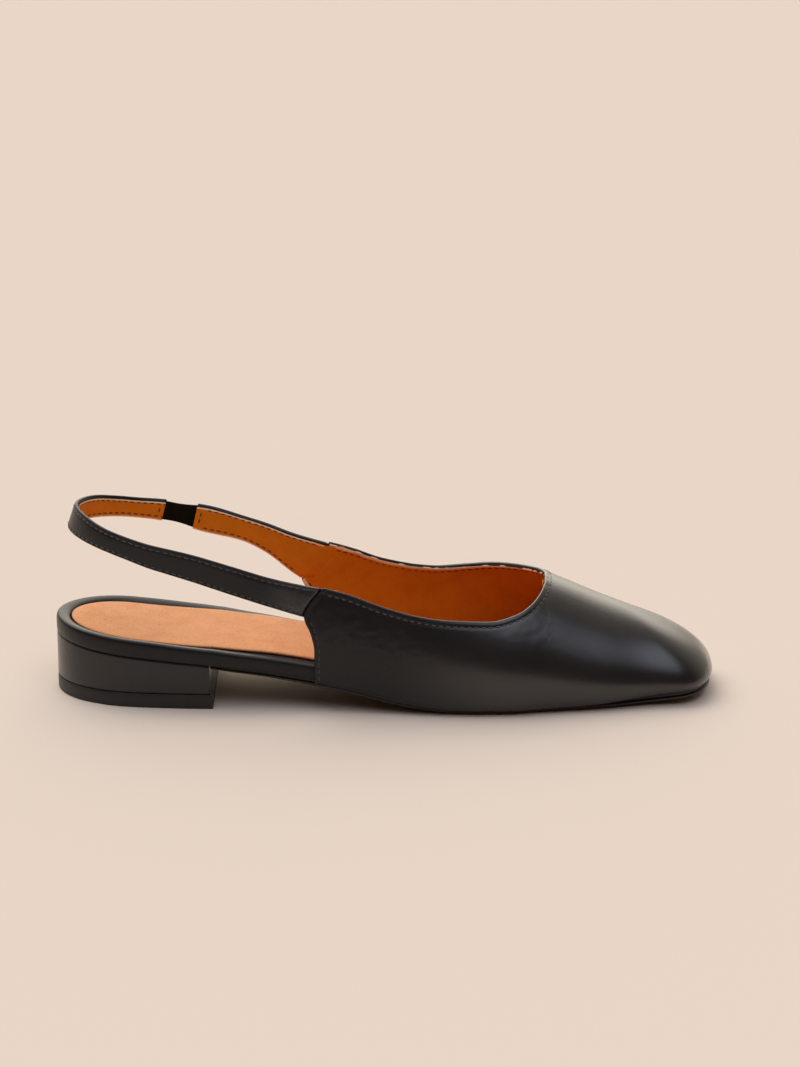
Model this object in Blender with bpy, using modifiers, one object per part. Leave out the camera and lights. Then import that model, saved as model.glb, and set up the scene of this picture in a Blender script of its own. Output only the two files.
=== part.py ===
"""Right shoe of a slingback flat with a square toe and a low covered block heel.

Metres, +Z up. +X runs from heel to toe along the seat's axis, -Y is the outer (lateral) side and
+Y the inner (medial) side. Shapes are worked out with X = 0 at the back of the heel, Y = 0 on the
seat's axis and Z = 0 on the floor, and every mesh is then moved so that the origin lies under the
middle of the shoe.
"""

import math

import bmesh
import bpy
import numpy as np

MM = 0.001

# Plan of the footbed
FOOTBED_LENGTH = 251.2 * MM
HEEL_LENGTH = 62 * MM
SEAT_WIDTH = 57 * MM
WAIST_WIDTH = 52 * MM
BALL_WIDTH = 75 * MM
TOE_WIDTH = 45 * MM
TOE_SWING = 6.2 * MM
SEAT_ROUND_LENGTH = 29 * MM
TOE_ROUND_LENGTH = 14 * MM
TOE_SQUARENESS = 2.5

# Heights above the floor
HEEL_BACK_HEIGHT = 22.9 * MM
HEEL_BREAST_HEIGHT = 17.2 * MM
BREAST_SKEW = 2.4 * MM
TOP_PIECE_THICKNESS = 5.6 * MM
TOP_PIECE_LENGTH = 63.2 * MM
OUTSOLE_THICKNESS = 2.6 * MM
TOE_SPRING = 3.8 * MM
FEATHER_DROP = 1.0 * MM

# Footbed, sock and sole edge
FOOTBED_THICKNESS = 6.7 * MM
RIM_WIDTH = 5.6 * MM
RIM_ROUND = 1.6 * MM
SOCK_RECESS = 2.2 * MM
SOCK_THICKNESS = 0.9 * MM
FOREPART_INSET = 1.6 * MM
EDGE_BEVEL = 0.5 * MM
HEEL_INSET = 0.7 * MM
SOLE_MARGIN = 1.2 * MM

# Upper
UPPER_WALL = 1.8 * MM
SIDE_BULGE = 5.0 * MM
INSTEP_HEIGHT = 84 * MM
THROAT_HEIGHT = 44.4 * MM
TOE_BOX_HEIGHT = 30.6 * MM
THROAT_STATION = 189 * MM
TOE_BOX_SETBACK = 28.5 * MM
TOE_FAN_SHARE = 0.4
SEAM_STATION = 105.5 * MM
TOPLINE_AT_SEAM = 48 * MM

# Straps
STRAP_BACK_HEIGHT = 73.3 * MM
STRAP_HALF_SPREAD = 30 * MM
STRAP_BACK_STATION = 6 * MM
STRAP_ROUND_LENGTH = 35 * MM
STRAP_SQUARENESS = 1.8
STRAP_LEAN = 3.2 * MM
STRAP_THICKNESS = 1.9 * MM
ELASTIC_START = 40 * MM
ELASTIC_LENGTH = 12 * MM
ELASTIC_THICKNESS = 1.2 * MM
ELASTIC_NARROWING_SHARE = 0.06
END_SLANT = 2.4 * MM

# Clear space between pieces that touch
GAP = 0.3 * MM

# Place of the origin, under the middle of the shoe
ORIGIN_FROM_HEEL = 126.65 * MM
ORIGIN_FROM_AXIS = 4.5 * MM

LATERAL, MEDIAL = -1, 1

# Columns: share of the footbed's length, lateral and medial distance from the seat's axis
PLAN = (
    (0.00, 0.445 * SEAT_WIDTH, 0.500 * SEAT_WIDTH),
    (0.06, 0.450 * SEAT_WIDTH, 0.500 * SEAT_WIDTH),
    (0.095, 0.466 * SEAT_WIDTH, 0.500 * SEAT_WIDTH),
    (0.13, 0.487 * SEAT_WIDTH, 0.500 * SEAT_WIDTH),
    (0.16, 0.498 * SEAT_WIDTH, 0.499 * SEAT_WIDTH),
    (0.22, 0.510 * SEAT_WIDTH, 0.495 * SEAT_WIDTH),
    (0.30, 0.553 * WAIST_WIDTH, 0.505 * WAIST_WIDTH),
    (0.38, 0.540 * WAIST_WIDTH, 0.465 * WAIST_WIDTH),
    (0.46, 0.560 * WAIST_WIDTH, 0.480 * WAIST_WIDTH),
    (0.54, 0.410 * BALL_WIDTH, 0.405 * BALL_WIDTH),
    (0.62, 0.430 * BALL_WIDTH, 0.505 * BALL_WIDTH),
    (0.69, 0.420 * BALL_WIDTH, 0.550 * BALL_WIDTH),
    (0.76, 0.370 * BALL_WIDTH, 0.550 * BALL_WIDTH),
    (0.84, 0.318 * BALL_WIDTH, 0.510 * BALL_WIDTH),
    (0.92, 0.500 * TOE_WIDTH - 0.60 * TOE_SWING, 0.500 * TOE_WIDTH + 1.70 * TOE_SWING),
    (1.00, 0.500 * TOE_WIDTH - 1.00 * TOE_SWING, 0.500 * TOE_WIDTH + 1.00 * TOE_SWING),
)
# Columns: share of the footbed's length, share of the heel breast's height under the footbed
SHANK_SHARES = (
    (0.25, 1.0),
    (0.28, 0.932),
    (0.325, 0.842),
    (0.37, 0.730),
    (0.405, 0.632),
    (0.44, 0.515),
    (0.475, 0.385),
    (0.505, 0.265),
    (0.535, 0.158),
    (0.565, 0.078),
    (0.60, 0.025),
    (0.65, 0.0),
)
# Columns: share of the footbed's length, share of the toe spring
TOE_SHARES = ((0.745, 0.0), (0.81, 0.05), (0.89, 0.27), (0.965, 0.72), (1.00, 1.0))
# Columns: share of the footbed's length, share of its thickness and rim, of its inset, of the recess
BOARD_SHARES = (
    (0.00, 1.00, 0.40, 1.00),
    (0.08, 1.00, 0.00, 1.00),
    (0.14, 1.00, 0.00, 1.00),
    (0.20, 0.96, 0.00, 0.80),
    (0.28, 0.91, 0.00, 0.30),
    (0.36, 0.875, 0.00, -0.10),
    (0.42, 0.86, 0.00, -0.10),
    (0.60, 0.50, 0.70, 0.30),
    (1.00, 0.45, 1.00, 0.45),
)
# Columns: share of the footbed's length, share of the sole's margin, of the upper's feather drop
SOLE_SHARES = (
    (0.25, -1.0, 1.0),
    (0.36, -0.7, 1.0),
    (0.46, -1.0, 1.0),
    (0.80, -1.0, 1.0),
    (0.92, -0.2, 0.0),
    (1.00, 1.0, 0.0),
)
# Columns: share of the footbed's length, share of the outsole's thickness
SOLE_THINNING = ((0.25, 0.58), (0.32, 0.70), (0.40, 1.0))
# Columns: share of the footbed's length, height of the last's ridge, its distance from the axis
RIDGE = (
    (0.34, INSTEP_HEIGHT, 0.0),
    (0.50, 0.70 * INSTEP_HEIGHT + 0.30 * THROAT_HEIGHT, 0.0),
    (0.64, 0.33 * INSTEP_HEIGHT + 0.67 * THROAT_HEIGHT, 0.35 * TOE_SWING),
    (0.755, THROAT_HEIGHT, 0.60 * TOE_SWING),
    (0.83, 0.40 * THROAT_HEIGHT + 0.60 * TOE_BOX_HEIGHT, 0.85 * TOE_SWING),
    (0.886, TOE_BOX_HEIGHT, 1.00 * TOE_SWING),
    (0.930, 0.84 * TOE_BOX_HEIGHT, 1.00 * TOE_SWING),
)
# Columns: share of the footbed's length, share of the bulge, reach of the low and the top handle
SECTIONS = (
    (0.36, 0.50, 0.50, 0.60),
    (0.60, 0.95, 0.50, 0.62),
    (0.75, 1.00, 0.50, 0.62),
    (0.90, 0.60, 0.42, 0.58),
    (1.00, 0.42, 0.35, 0.55),
)
# Columns: share of the throat's station, height on each side as a share of the throat's
TOPLINE = (
    (0.500, 1.137, 1.210),
    (0.560, 1.075, 1.158),
    (0.610, 1.023, 1.096),
    (0.675, 0.930, 0.992),
    (0.740, 0.858, 0.920),
    (0.790, 0.827, 0.894),
    (0.840, 0.811, 0.910),
    (0.890, 0.800, 0.938),
    (0.940, 0.838, 0.958),
    (0.970, 0.895, 0.966),
    (0.988, 0.950, 0.976),
    (1.000, 1.000, 1.000),
)
# Columns: height as a share of the topline's at the seam, station as a share of the seam's
REAR_EDGES = {
    LATERAL: ((0.0, 0.966), (0.50, 0.970), (0.64, 0.957), (0.775, 0.933), (1.0, 1.0)),
    MEDIAL: ((0.0, 0.962), (0.45, 0.962), (0.62, 0.925), (0.76, 0.890), (1.08, 1.0)),
}
# Columns: share of the seam's station, bottom and top edge as shares of the strap's back height
STRAP_EDGES = {
    LATERAL: (
        (0.057, 0.873, 1.000),
        (0.104, 0.862, 0.985),
        (0.190, 0.838, 0.950),
        (0.284, 0.806, 0.920),
        (0.389, 0.757, 0.885),
        (0.538, 0.689, 0.834),
        (0.673, 0.621, 0.775),
        (0.806, 0.555, 0.715),
        (0.925, 0.500, 0.675),
        (1.000, 0.470, 0.655),
    ),
    MEDIAL: (
        (0.057, 0.873, 1.000),
        (0.104, 0.862, 0.985),
        (0.190, 0.838, 0.950),
        (0.284, 0.810, 0.920),
        (0.389, 0.780, 0.902),
        (0.538, 0.722, 0.873),
        (0.673, 0.683, 0.820),
        (0.768, 0.625, 0.783),
        (0.850, 0.542, 0.747),
        (1.000, 0.400, 0.700),
    ),
}
# Columns: inset as a share of the rim's width, drop as a share of its roundness, of the recess
RIM_PROFILE = (
    (0.00, 1.00, 0.00),
    (0.05, 0.40, 0.00),
    (0.15, 0.08, 0.00),
    (0.32, 0.00, 0.04),
    (0.60, 0.00, 0.20),
    (0.86, 0.00, 0.55),
)


class Curve:
    """A smooth curve through one column of a table, with no overshoot between its rows."""

    def __init__(self, rows, column=1):
        self.x = np.array([row[0] for row in rows], float)
        self.y = np.array([row[column] for row in rows], float)
        run = np.diff(self.x)
        slope = np.diff(self.y) / run
        tangent = np.zeros(len(self.x))
        tangent[0], tangent[-1] = slope[0], slope[-1]
        for i in range(1, len(slope)):
            if slope[i - 1] * slope[i] > 0:
                before = 2 * run[i] + run[i - 1]
                after = run[i] + 2 * run[i - 1]
                tangent[i] = (before + after) / (before / slope[i - 1] + after / slope[i])
        self.tangent = tangent

    def __call__(self, x):
        x = np.clip(x, self.x[0], self.x[-1])
        i = np.clip(np.searchsorted(self.x, x) - 1, 0, len(self.x) - 2)
        run = self.x[i + 1] - self.x[i]
        t = (x - self.x[i]) / run
        value = self.y[i] * (1 + 2 * t) * (1 - t) ** 2 + self.y[i + 1] * t * t * (3 - 2 * t)
        return value + run * t * (1 - t) * ((1 - t) * self.tangent[i] - t * self.tangent[i + 1])


def smooth(t):
    t = np.clip(t, 0, 1)
    return t * t * (3 - 2 * t)


LATERAL_EDGE, MEDIAL_EDGE = Curve(PLAN, 1), Curve(PLAN, 2)
SHANK_CURVE, TOE_CURVE = Curve(SHANK_SHARES), Curve(TOE_SHARES)
BOARD_KEPT, BOARD_CUT, BOARD_RECESS = (Curve(BOARD_SHARES, column) for column in (1, 2, 3))
SOLE_EDGE_CURVE, FEATHER_CURVE = Curve(SOLE_SHARES, 1), Curve(SOLE_SHARES, 2)
SOLE_THIN_CURVE = Curve(SOLE_THINNING)
RIDGE_HEIGHT, RIDGE_OFFSET = Curve(RIDGE, 1), Curve(RIDGE, 2)
BULGE, LOW_HANDLE, TOP_HANDLE = (Curve(SECTIONS, column) for column in (1, 2, 3))
TOPLINE_HEIGHT = {LATERAL: Curve(TOPLINE, 1), MEDIAL: Curve(TOPLINE, 2)}
REAR_EDGE = {side: Curve(rows) for side, rows in REAR_EDGES.items()}
STRAP_BOTTOM = {side: Curve(rows, 1) for side, rows in STRAP_EDGES.items()}
STRAP_TOP = {side: Curve(rows, 2) for side, rows in STRAP_EDGES.items()}


def plan_y(side, x):
    """Signed distance from the axis of the footbed's edge, rounded off at heel and toe."""
    share = x / FOOTBED_LENGTH
    lateral, medial = LATERAL_EDGE(share), MEDIAL_EDGE(share)
    behind = np.clip(1 - x / SEAT_ROUND_LENGTH, 0, 1)
    ahead = np.clip(1 - (FOOTBED_LENGTH - x) / TOE_ROUND_LENGTH, 0, 1)
    seat_round = np.sqrt(1 - behind**2)
    toe_round = (1 - ahead**TOE_SQUARENESS) ** (1 / TOE_SQUARENESS)
    return (medial - lateral) / 2 + side * (medial + lateral) / 2 * seat_round * toe_round


def base_height(x):
    """Height of the footbed's underside above the floor."""
    share = x / FOOTBED_LENGTH
    shank = (HEEL_BREAST_HEIGHT - OUTSOLE_THICKNESS) * SHANK_CURVE(share)
    seat = (HEEL_BACK_HEIGHT - HEEL_BREAST_HEIGHT) * np.clip(1 - x / HEEL_LENGTH, 0, 1)
    return OUTSOLE_THICKNESS + shank + seat + TOE_SPRING * TOE_CURVE(share)


class SidePath:
    """One side of the footbed's outline, from the back of the heel to the middle of the toe."""

    def __init__(self, side, samples=3000):
        x = FOOTBED_LENGTH * (1 - np.cos(np.linspace(0, math.pi, samples))) / 2
        self.points = np.stack([x, plan_y(side, x)], axis=1)
        step = np.hypot(*np.diff(self.points, axis=0).T)
        self.run = np.concatenate([[0], np.cumsum(step)])
        tangent = np.gradient(self.points, axis=0)
        tangent /= np.hypot(*tangent.T)[:, None]
        self.normals = side * np.stack([-tangent[:, 1], tangent[:, 0]], axis=1)
        self.normals[0] = (-1, 0)
        self.normals[-1] = (1, 0)

    def at(self, run, outwards=0.0):
        """Point of the outline at a distance along it, moved outwards, and the normal there."""
        point = np.array([np.interp(run, self.run, self.points[:, k]) for k in (0, 1)])
        normal = np.array([np.interp(run, self.run, self.normals[:, k]) for k in (0, 1)])
        normal /= np.hypot(*normal)
        return point + outwards * normal, normal

    def run_at(self, x):
        return float(np.interp(x, self.points[:, 0], self.run))


PATHS = {side: SidePath(side) for side in (LATERAL, MEDIAL)}


def ridge_station(side, run):
    """Where on the ridge the section from this place on the outline ends."""
    path = PATHS[side]
    throat_run = path.run_at(THROAT_STATION)
    if run <= throat_run:
        return path.at(run)[0][0]
    a = (run - throat_run) / (path.run[-1] - throat_run)
    length = sum(PATHS[s].run[-1] - PATHS[s].run_at(THROAT_STATION) for s in PATHS) / 2
    reach = FOOTBED_LENGTH - TOE_BOX_SETBACK - THROAT_STATION
    bend = length / reach * (1 - a) ** 2 - TOE_FAN_SHARE * a * (1 - a)
    return THROAT_STATION + reach * a * (bend + a * (3 - 2 * a))


def last_point(side, run, up):
    """Outer face of the upper: up is 0 at the sole's edge and 1 on the last's ridge."""
    path = PATHS[side]
    foot, normal = path.at(run, GAP + UPPER_WALL)
    station = path.at(run)[0][0]
    share = station / FOOTBED_LENGTH
    ridge_x = ridge_station(side, run)
    ridge_share = ridge_x / FOOTBED_LENGTH
    ridge = np.array([ridge_x, float(RIDGE_OFFSET(ridge_share))])
    top = float(RIDGE_HEIGHT(ridge_share))
    nudge = 0.004
    rise = RIDGE_HEIGHT(ridge_share + nudge) - RIDGE_HEIGHT(ridge_share - nudge)
    fall = rise / (2 * nudge * FOOTBED_LENGTH)
    low = float(base_height(station) - FEATHER_DROP * FEATHER_CURVE(share))
    swollen = foot + normal * SIDE_BULGE * BULGE(share)
    inner = ridge + (foot - ridge) * TOP_HANDLE(share)
    handles = (
        (foot[0], foot[1], low),
        (swollen[0], swollen[1], low + LOW_HANDLE(share) * (top - low)),
        (inner[0], inner[1], top + fall * (inner[0] - ridge_x)),
        (ridge[0], ridge[1], top),
    )
    weights = ((1 - up) ** 3, 3 * up * (1 - up) ** 2, 3 * up * up * (1 - up), up**3)
    return sum(w * np.array(p) for w, p in zip(weights, handles))


def up_for_height(side, run, height):
    """How far up the section at this place the surface reaches a height."""
    low, high = 0.0, 1.0
    for _ in range(40):
        middle = (low + high) / 2
        if last_point(side, run, middle)[2] < height:
            low = middle
        else:
            high = middle
    return (low + high) / 2


def topline_height(side, x):
    return THROAT_HEIGHT * float(TOPLINE_HEIGHT[side](x / THROAT_STATION))


def rear_edge_station(side, height):
    return SEAM_STATION * float(REAR_EDGE[side](height / TOPLINE_AT_SEAM))


def surface_at(side, x, height):
    run = PATHS[side].run_at(x)
    return last_point(side, run, up_for_height(side, run, height))


def upper_column(side, share, rows):
    """Points up one line of the upper; share runs 0 to 1 to the throat and 1 to 2 to the toe."""
    path = PATHS[side]
    throat_run = path.run_at(THROAT_STATION)
    if share >= 1:
        run = throat_run + (share - 1) * (path.run[-1] - throat_run)
        return [last_point(side, run, up) for up in rows]
    corner_run = path.run_at(SEAM_STATION)
    run = corner_run + share * (throat_run - corner_run)
    top = up_for_height(side, run, topline_height(side, path.at(run)[0][0]))
    points = []
    for up in rows:
        edge_run = corner_run
        for _ in range(12):
            height = last_point(side, edge_run, up * top)[2]
            edge_run = path.run_at(rear_edge_station(side, height))
        own_run = edge_run + share * (throat_run - edge_run)
        points.append(last_point(side, own_run, up * top))
    return points


def station_list(start, end, count):
    """Stations spaced evenly round the outline, closer together at heel and toe."""
    path = PATHS[LATERAL]
    run = np.linspace(path.run_at(start), path.run_at(end), 2000)
    x = np.interp(run, path.run, path.points[:, 0])
    near_end = np.minimum(x / SEAT_ROUND_LENGTH, (FOOTBED_LENGTH - x) / (2 * TOE_ROUND_LENGTH))
    density = 1 + 1.6 * np.clip(1 - near_end, 0, 1)
    weight = np.concatenate([[0], np.cumsum((density[1:] + density[:-1]) / 2)])
    return np.interp(np.linspace(0, weight[-1], count), weight, x)


def breast_skew(x):
    """How much further back the inner side's stations lie, so that the heel's breast slants."""
    behind = x / HEEL_LENGTH
    return BREAST_SKEW * np.clip(behind if behind < 1 else 2 - behind, 0, 1)


def board_mesh(stations, rings, skewed=False):
    """A closed board from rings that are named by inset and height at a station."""
    mesh = bmesh.new()
    grid = {}
    for side in (LATERAL, MEDIAL):
        for i, station in enumerate(stations):
            x = station - breast_skew(station) if skewed and side == MEDIAL else station
            run = PATHS[side].run_at(x)
            for k, ring in enumerate(rings):
                inset, height = ring(x)
                point, _ = PATHS[side].at(run, -inset)
                grid[side, i, k] = mesh.verts.new((point[0], point[1], height))
    last = len(stations) - 1
    for side in (LATERAL, MEDIAL):
        for i in range(last):
            for k in range(len(rings) - 1):
                corners = (side, i, k), (side, i + 1, k), (side, i + 1, k + 1), (side, i, k + 1)
                mesh.faces.new([grid[corner] for corner in corners])
    for k in (0, len(rings) - 1):
        for i in range(last):
            corners = (LATERAL, i, k), (LATERAL, i + 1, k), (MEDIAL, i + 1, k), (MEDIAL, i, k)
            mesh.faces.new([grid[corner] for corner in corners])
    for i in (0, last):
        if 0 < stations[i] < FOOTBED_LENGTH:
            for k in range(len(rings) - 1):
                corners = (LATERAL, i, k), (LATERAL, i, k + 1), (MEDIAL, i, k + 1), (MEDIAL, i, k)
                mesh.faces.new([grid[corner] for corner in corners])
    return mesh


def grid_mesh(columns):
    """An open surface from columns of points."""
    mesh = bmesh.new()
    verts = [[mesh.verts.new(point) for point in column] for column in columns]
    for left, right in zip(verts, verts[1:]):
        for k in range(len(left) - 1):
            mesh.faces.new((left[k], right[k], right[k + 1], left[k + 1]))
    return mesh


def add_object(mesh, name, material, parts, outwards=None, thickness=0.0, sharp=40):
    """Turn a mesh into a named object; an open surface gets its wall from Solidify."""
    bmesh.ops.remove_doubles(mesh, verts=mesh.verts, dist=0.02 * MM)
    bmesh.ops.dissolve_degenerate(mesh, edges=mesh.edges, dist=0.001 * MM)
    bmesh.ops.translate(mesh, verts=mesh.verts, vec=(-ORIGIN_FROM_HEEL, -ORIGIN_FROM_AXIS, 0))
    if outwards is None:
        bmesh.ops.recalc_face_normals(mesh, faces=mesh.faces)
    else:
        mesh.faces.ensure_lookup_table()
        if outwards(mesh.faces[len(mesh.faces) // 3]) < 0:
            bmesh.ops.reverse_faces(mesh, faces=mesh.faces)
    data = bpy.data.meshes.new(name)
    mesh.to_mesh(data)
    mesh.free()
    data.polygons.foreach_set("use_smooth", [True] * len(data.polygons))
    data.set_sharp_from_angle(angle=math.radians(sharp))
    data.materials.append(material)
    item = bpy.data.objects.new(name, data)
    parts.objects.link(item)
    if thickness:
        wall = item.modifiers.new("wall", "SOLIDIFY")
        wall.thickness = thickness
        wall.offset = -1
        wall.use_even_offset = True
        wall.use_rim = True
    return item


def leather(name, colour, roughness, coat=0.0):
    material = bpy.data.materials.new(name)
    material.use_nodes = True
    shader = material.node_tree.nodes["Principled BSDF"]
    shader.inputs["Base Color"].default_value = (*colour, 1)
    shader.inputs["Roughness"].default_value = roughness
    shader.inputs["Coat Weight"].default_value = coat
    return material


def faces_out(face):
    """Positive when a side face looks away from the shoe's middle line."""
    return face.calc_center_median().y * face.normal.y


def make_upper(parts, material):
    rows = np.linspace(0, 1, 14)
    to_throat = 1 - (1 - np.linspace(0, 1, 25)) ** 1.7
    to_toe = 1 + np.linspace(0, 1, 23)[1:]
    shares = np.concatenate([to_throat, to_toe])
    columns = [upper_column(LATERAL, share, rows) for share in shares]
    columns += [upper_column(MEDIAL, share, rows) for share in shares[-2::-1]]
    add_object(grid_mesh(columns), "upper", material, parts, faces_out, UPPER_WALL, 50)


def make_board_parts(parts, materials):
    full = station_list(0, FOOTBED_LENGTH, 49)
    heel = np.array([x for x in full if x < 0.93 * HEEL_LENGTH] + [HEEL_LENGTH])
    sole_start = HEEL_LENGTH + GAP
    sole = np.array([sole_start] + [x for x in full if x > 1.05 * sole_start])

    def footbed_ring(across, rise):
        def ring(x):
            share = x / FOOTBED_LENGTH
            kept = BOARD_KEPT(share)
            cut = FOREPART_INSET * BOARD_CUT(share)
            return cut + across * kept, base_height(x) + rise(kept, BOARD_RECESS(share))
        return ring

    def rim_rise(rounding, sinking):
        def rise(kept, recess):
            drop = rounding * RIM_ROUND + sinking * recess * SOCK_RECESS
            return (FOOTBED_THICKNESS - drop) * kept
        return rise

    rings = [footbed_ring(EDGE_BEVEL, lambda kept, recess: 0)]
    rings.append(footbed_ring(0, lambda kept, recess: EDGE_BEVEL))
    for inset, rounding, sinking in (*RIM_PROFILE, (1, 0, 1)):
        rings.append(footbed_ring(inset * RIM_WIDTH, rim_rise(rounding, sinking)))
    add_object(board_mesh(full, rings), "footbed", materials["black"], parts)

    def sock_ring(inset, rise):
        def ring(x):
            share = x / FOOTBED_LENGTH
            kept = BOARD_KEPT(share)
            cut = FOREPART_INSET * BOARD_CUT(share)
            floor = base_height(x) + rim_rise(0, 1)(kept, BOARD_RECESS(share)) + GAP
            return cut + RIM_WIDTH * kept + GAP + inset, floor + rise
        return ring

    bevel = 0.3 * SOCK_THICKNESS
    rings = [sock_ring(0, 0), sock_ring(0, SOCK_THICKNESS - bevel)]
    rings.append(sock_ring(bevel, SOCK_THICKNESS))
    add_object(board_mesh(full, rings), "insole_sock", materials["tan"], parts)

    def sole_ring(inset, rise, below):
        def ring(x):
            share = x / FOOTBED_LENGTH
            depth = OUTSOLE_THICKNESS * SOLE_THIN_CURVE(share) if below else GAP
            return inset - SOLE_MARGIN * SOLE_EDGE_CURVE(share), base_height(x) - depth + rise
        return ring

    rings = [sole_ring(EDGE_BEVEL, 0, True), sole_ring(0, EDGE_BEVEL, True)]
    rings.append(sole_ring(0, 0, False))
    add_object(board_mesh(sole, rings, True), "outsole", materials["sole"], parts)

    block_foot = TOP_PIECE_THICKNESS + GAP
    rings = [
        lambda x: (HEEL_INSET + EDGE_BEVEL, block_foot),
        lambda x: (HEEL_INSET, block_foot + EDGE_BEVEL),
        lambda x: (HEEL_INSET, base_height(x) - GAP - EDGE_BEVEL),
        lambda x: (HEEL_INSET + EDGE_BEVEL, base_height(x) - GAP),
    ]
    add_object(board_mesh(heel, rings, True), "heel_block", materials["black"], parts)
    rings = [
        lambda x: (HEEL_INSET + EDGE_BEVEL, 0),
        lambda x: (HEEL_INSET, EDGE_BEVEL),
        lambda x: (HEEL_INSET, TOP_PIECE_THICKNESS),
    ]
    lift = heel * (TOP_PIECE_LENGTH / HEEL_LENGTH)
    add_object(board_mesh(lift, rings, True), "heel_top_piece", materials["sole"], parts)


def strap_point(side, x, up, inset=0.0):
    """A point on a strap: up is 0 on its bottom edge and 1 on its top edge."""
    share = x / SEAM_STATION
    low = STRAP_BACK_HEIGHT * float(STRAP_BOTTOM[side](share))
    high = STRAP_BACK_HEIGHT * float(STRAP_TOP[side](share))
    round_end = STRAP_BACK_STATION + STRAP_ROUND_LENGTH
    behind = np.clip((round_end - x) / STRAP_ROUND_LENGTH, 0, 1)
    spread = (1 - behind**STRAP_SQUARENESS) ** (1 / STRAP_SQUARENESS) * STRAP_HALF_SPREAD
    lean = STRAP_LEAN * up * behind
    return np.array([x + lean, side * (spread - inset), low + up * (high - low)])


def seam_point(side, up):
    """A point just behind the upper's rear edge, from the strap's bottom edge to its top."""
    rows = REAR_EDGES[side]
    low, high = rows[-2][0] * TOPLINE_AT_SEAM, rows[-1][0] * TOPLINE_AT_SEAM
    top_height = topline_height(side, SEAM_STATION)
    height = low + up * (min(high, top_height) - low)
    return surface_at(side, rear_edge_station(side, height) - 2 * GAP, height)


def seamed_column(side, start, share, ups, slant=0.0):
    """A strap's line of points, share of the way from a station forward to the seam."""
    column = []
    for up in ups:
        seam = seam_point(side, up)
        slanted_start = start + (up - 0.5) * slant
        x = slanted_start + share * (seam[0] - slanted_start)
        own = strap_point(side, x, up)
        end = strap_point(side, seam[0], up)
        column.append(own + (seam - end) * smooth(share) * share)
    return column


def make_straps(parts, leather_material, elastic_material):
    ups = np.linspace(0, 1, 5)
    round_end = STRAP_BACK_STATION + STRAP_ROUND_LENGTH
    turn = np.linspace(0, math.pi / 2, 13)
    backs = round_end - STRAP_ROUND_LENGTH * np.cos(turn) ** (2 / STRAP_SQUARENESS)
    elastic_end = ELASTIC_START + ELASTIC_LENGTH

    columns = [seamed_column(LATERAL, round_end, share, ups) for share in np.linspace(1, 0, 13)]
    for x in backs[-2::-1]:
        columns.append([strap_point(LATERAL, x, up) for up in ups])
    for x in backs[1:]:
        slant = END_SLANT * smooth((x - backs[3]) / (ELASTIC_START - backs[3]))
        end = min(x, ELASTIC_START - GAP)
        columns.append([strap_point(MEDIAL, end + (up - 0.5) * slant, up) for up in ups])
    add_object(grid_mesh(columns), "strap", leather_material, parts, faces_out, STRAP_THICKNESS)

    columns = []
    inset = (STRAP_THICKNESS - ELASTIC_THICKNESS) / 2
    for share in np.linspace(0, 1, 5):
        narrow = ELASTIC_NARROWING_SHARE * (1 + 0.6 * math.sin(math.pi * share))
        x = ELASTIC_START + share * (ELASTIC_LENGTH - GAP)
        column = []
        for up in ups:
            height = narrow + (1 - 2 * narrow) * up
            column.append(strap_point(MEDIAL, x + (height - 0.5) * END_SLANT, height, inset))
        columns.append(column)
    add_object(
        grid_mesh(columns), "strap_elastic", elastic_material, parts, faces_out, ELASTIC_THICKNESS
    )

    shares = np.linspace(0, 1, 13)
    columns = [seamed_column(MEDIAL, elastic_end, share, ups, END_SLANT) for share in shares]
    add_object(grid_mesh(columns), "strap_tab", leather_material, parts, faces_out, STRAP_THICKNESS)


def main():
    for item in list(bpy.data.objects):
        bpy.data.objects.remove(item, do_unlink=True)
    parts = bpy.data.collections.new("sling_back_flat")
    bpy.context.scene.collection.children.link(parts)
    materials = {
        "black": leather("navy_black_calf", (0.012, 0.013, 0.020), 0.38, 0.25),
        "tan": leather("peach_tan_lining", (0.62, 0.34, 0.19), 0.62),
        "sole": leather("dark_sole_leather", (0.016, 0.014, 0.014), 0.5),
        "elastic": leather("black_elastic", (0.020, 0.015, 0.013), 0.8),
    }
    make_board_parts(parts, materials)
    make_upper(parts, materials["black"])
    make_straps(parts, materials["black"], materials["elastic"])


if __name__ == "__main__":
    main()
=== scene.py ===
"""Dresses the slingback flat: leather upper and straps, lining, sock, rim, heel, sole, stitches.

The surfaces follow the same sizes and tables as the solids, at a finer step.
"""

import math

import bmesh
import bpy
import numpy as np
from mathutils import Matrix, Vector, kdtree, noise


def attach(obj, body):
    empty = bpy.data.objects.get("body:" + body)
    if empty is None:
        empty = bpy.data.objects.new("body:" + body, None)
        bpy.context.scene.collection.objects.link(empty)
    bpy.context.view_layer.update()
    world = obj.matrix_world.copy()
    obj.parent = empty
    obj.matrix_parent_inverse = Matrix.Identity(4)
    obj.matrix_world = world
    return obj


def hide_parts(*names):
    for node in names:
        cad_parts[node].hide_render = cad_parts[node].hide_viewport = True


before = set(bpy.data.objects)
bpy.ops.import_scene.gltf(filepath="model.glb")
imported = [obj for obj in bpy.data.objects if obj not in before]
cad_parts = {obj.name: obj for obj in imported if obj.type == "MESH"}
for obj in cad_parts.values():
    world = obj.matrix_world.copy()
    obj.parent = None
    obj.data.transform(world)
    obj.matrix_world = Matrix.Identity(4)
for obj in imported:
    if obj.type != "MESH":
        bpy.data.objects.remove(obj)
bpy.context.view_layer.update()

bl_info = {
    "name": "Slingback flat",
    "version": (1, 0, 0),
    "blender": (4, 5, 0),
    "location": "3D View > Sidebar > Shoe",
    "description": "Builds the leather, lining, stitching and stage of a slingback flat",
    "category": "Object",
}

MM = 0.001
LATERAL, MEDIAL = -1, 1

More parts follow.
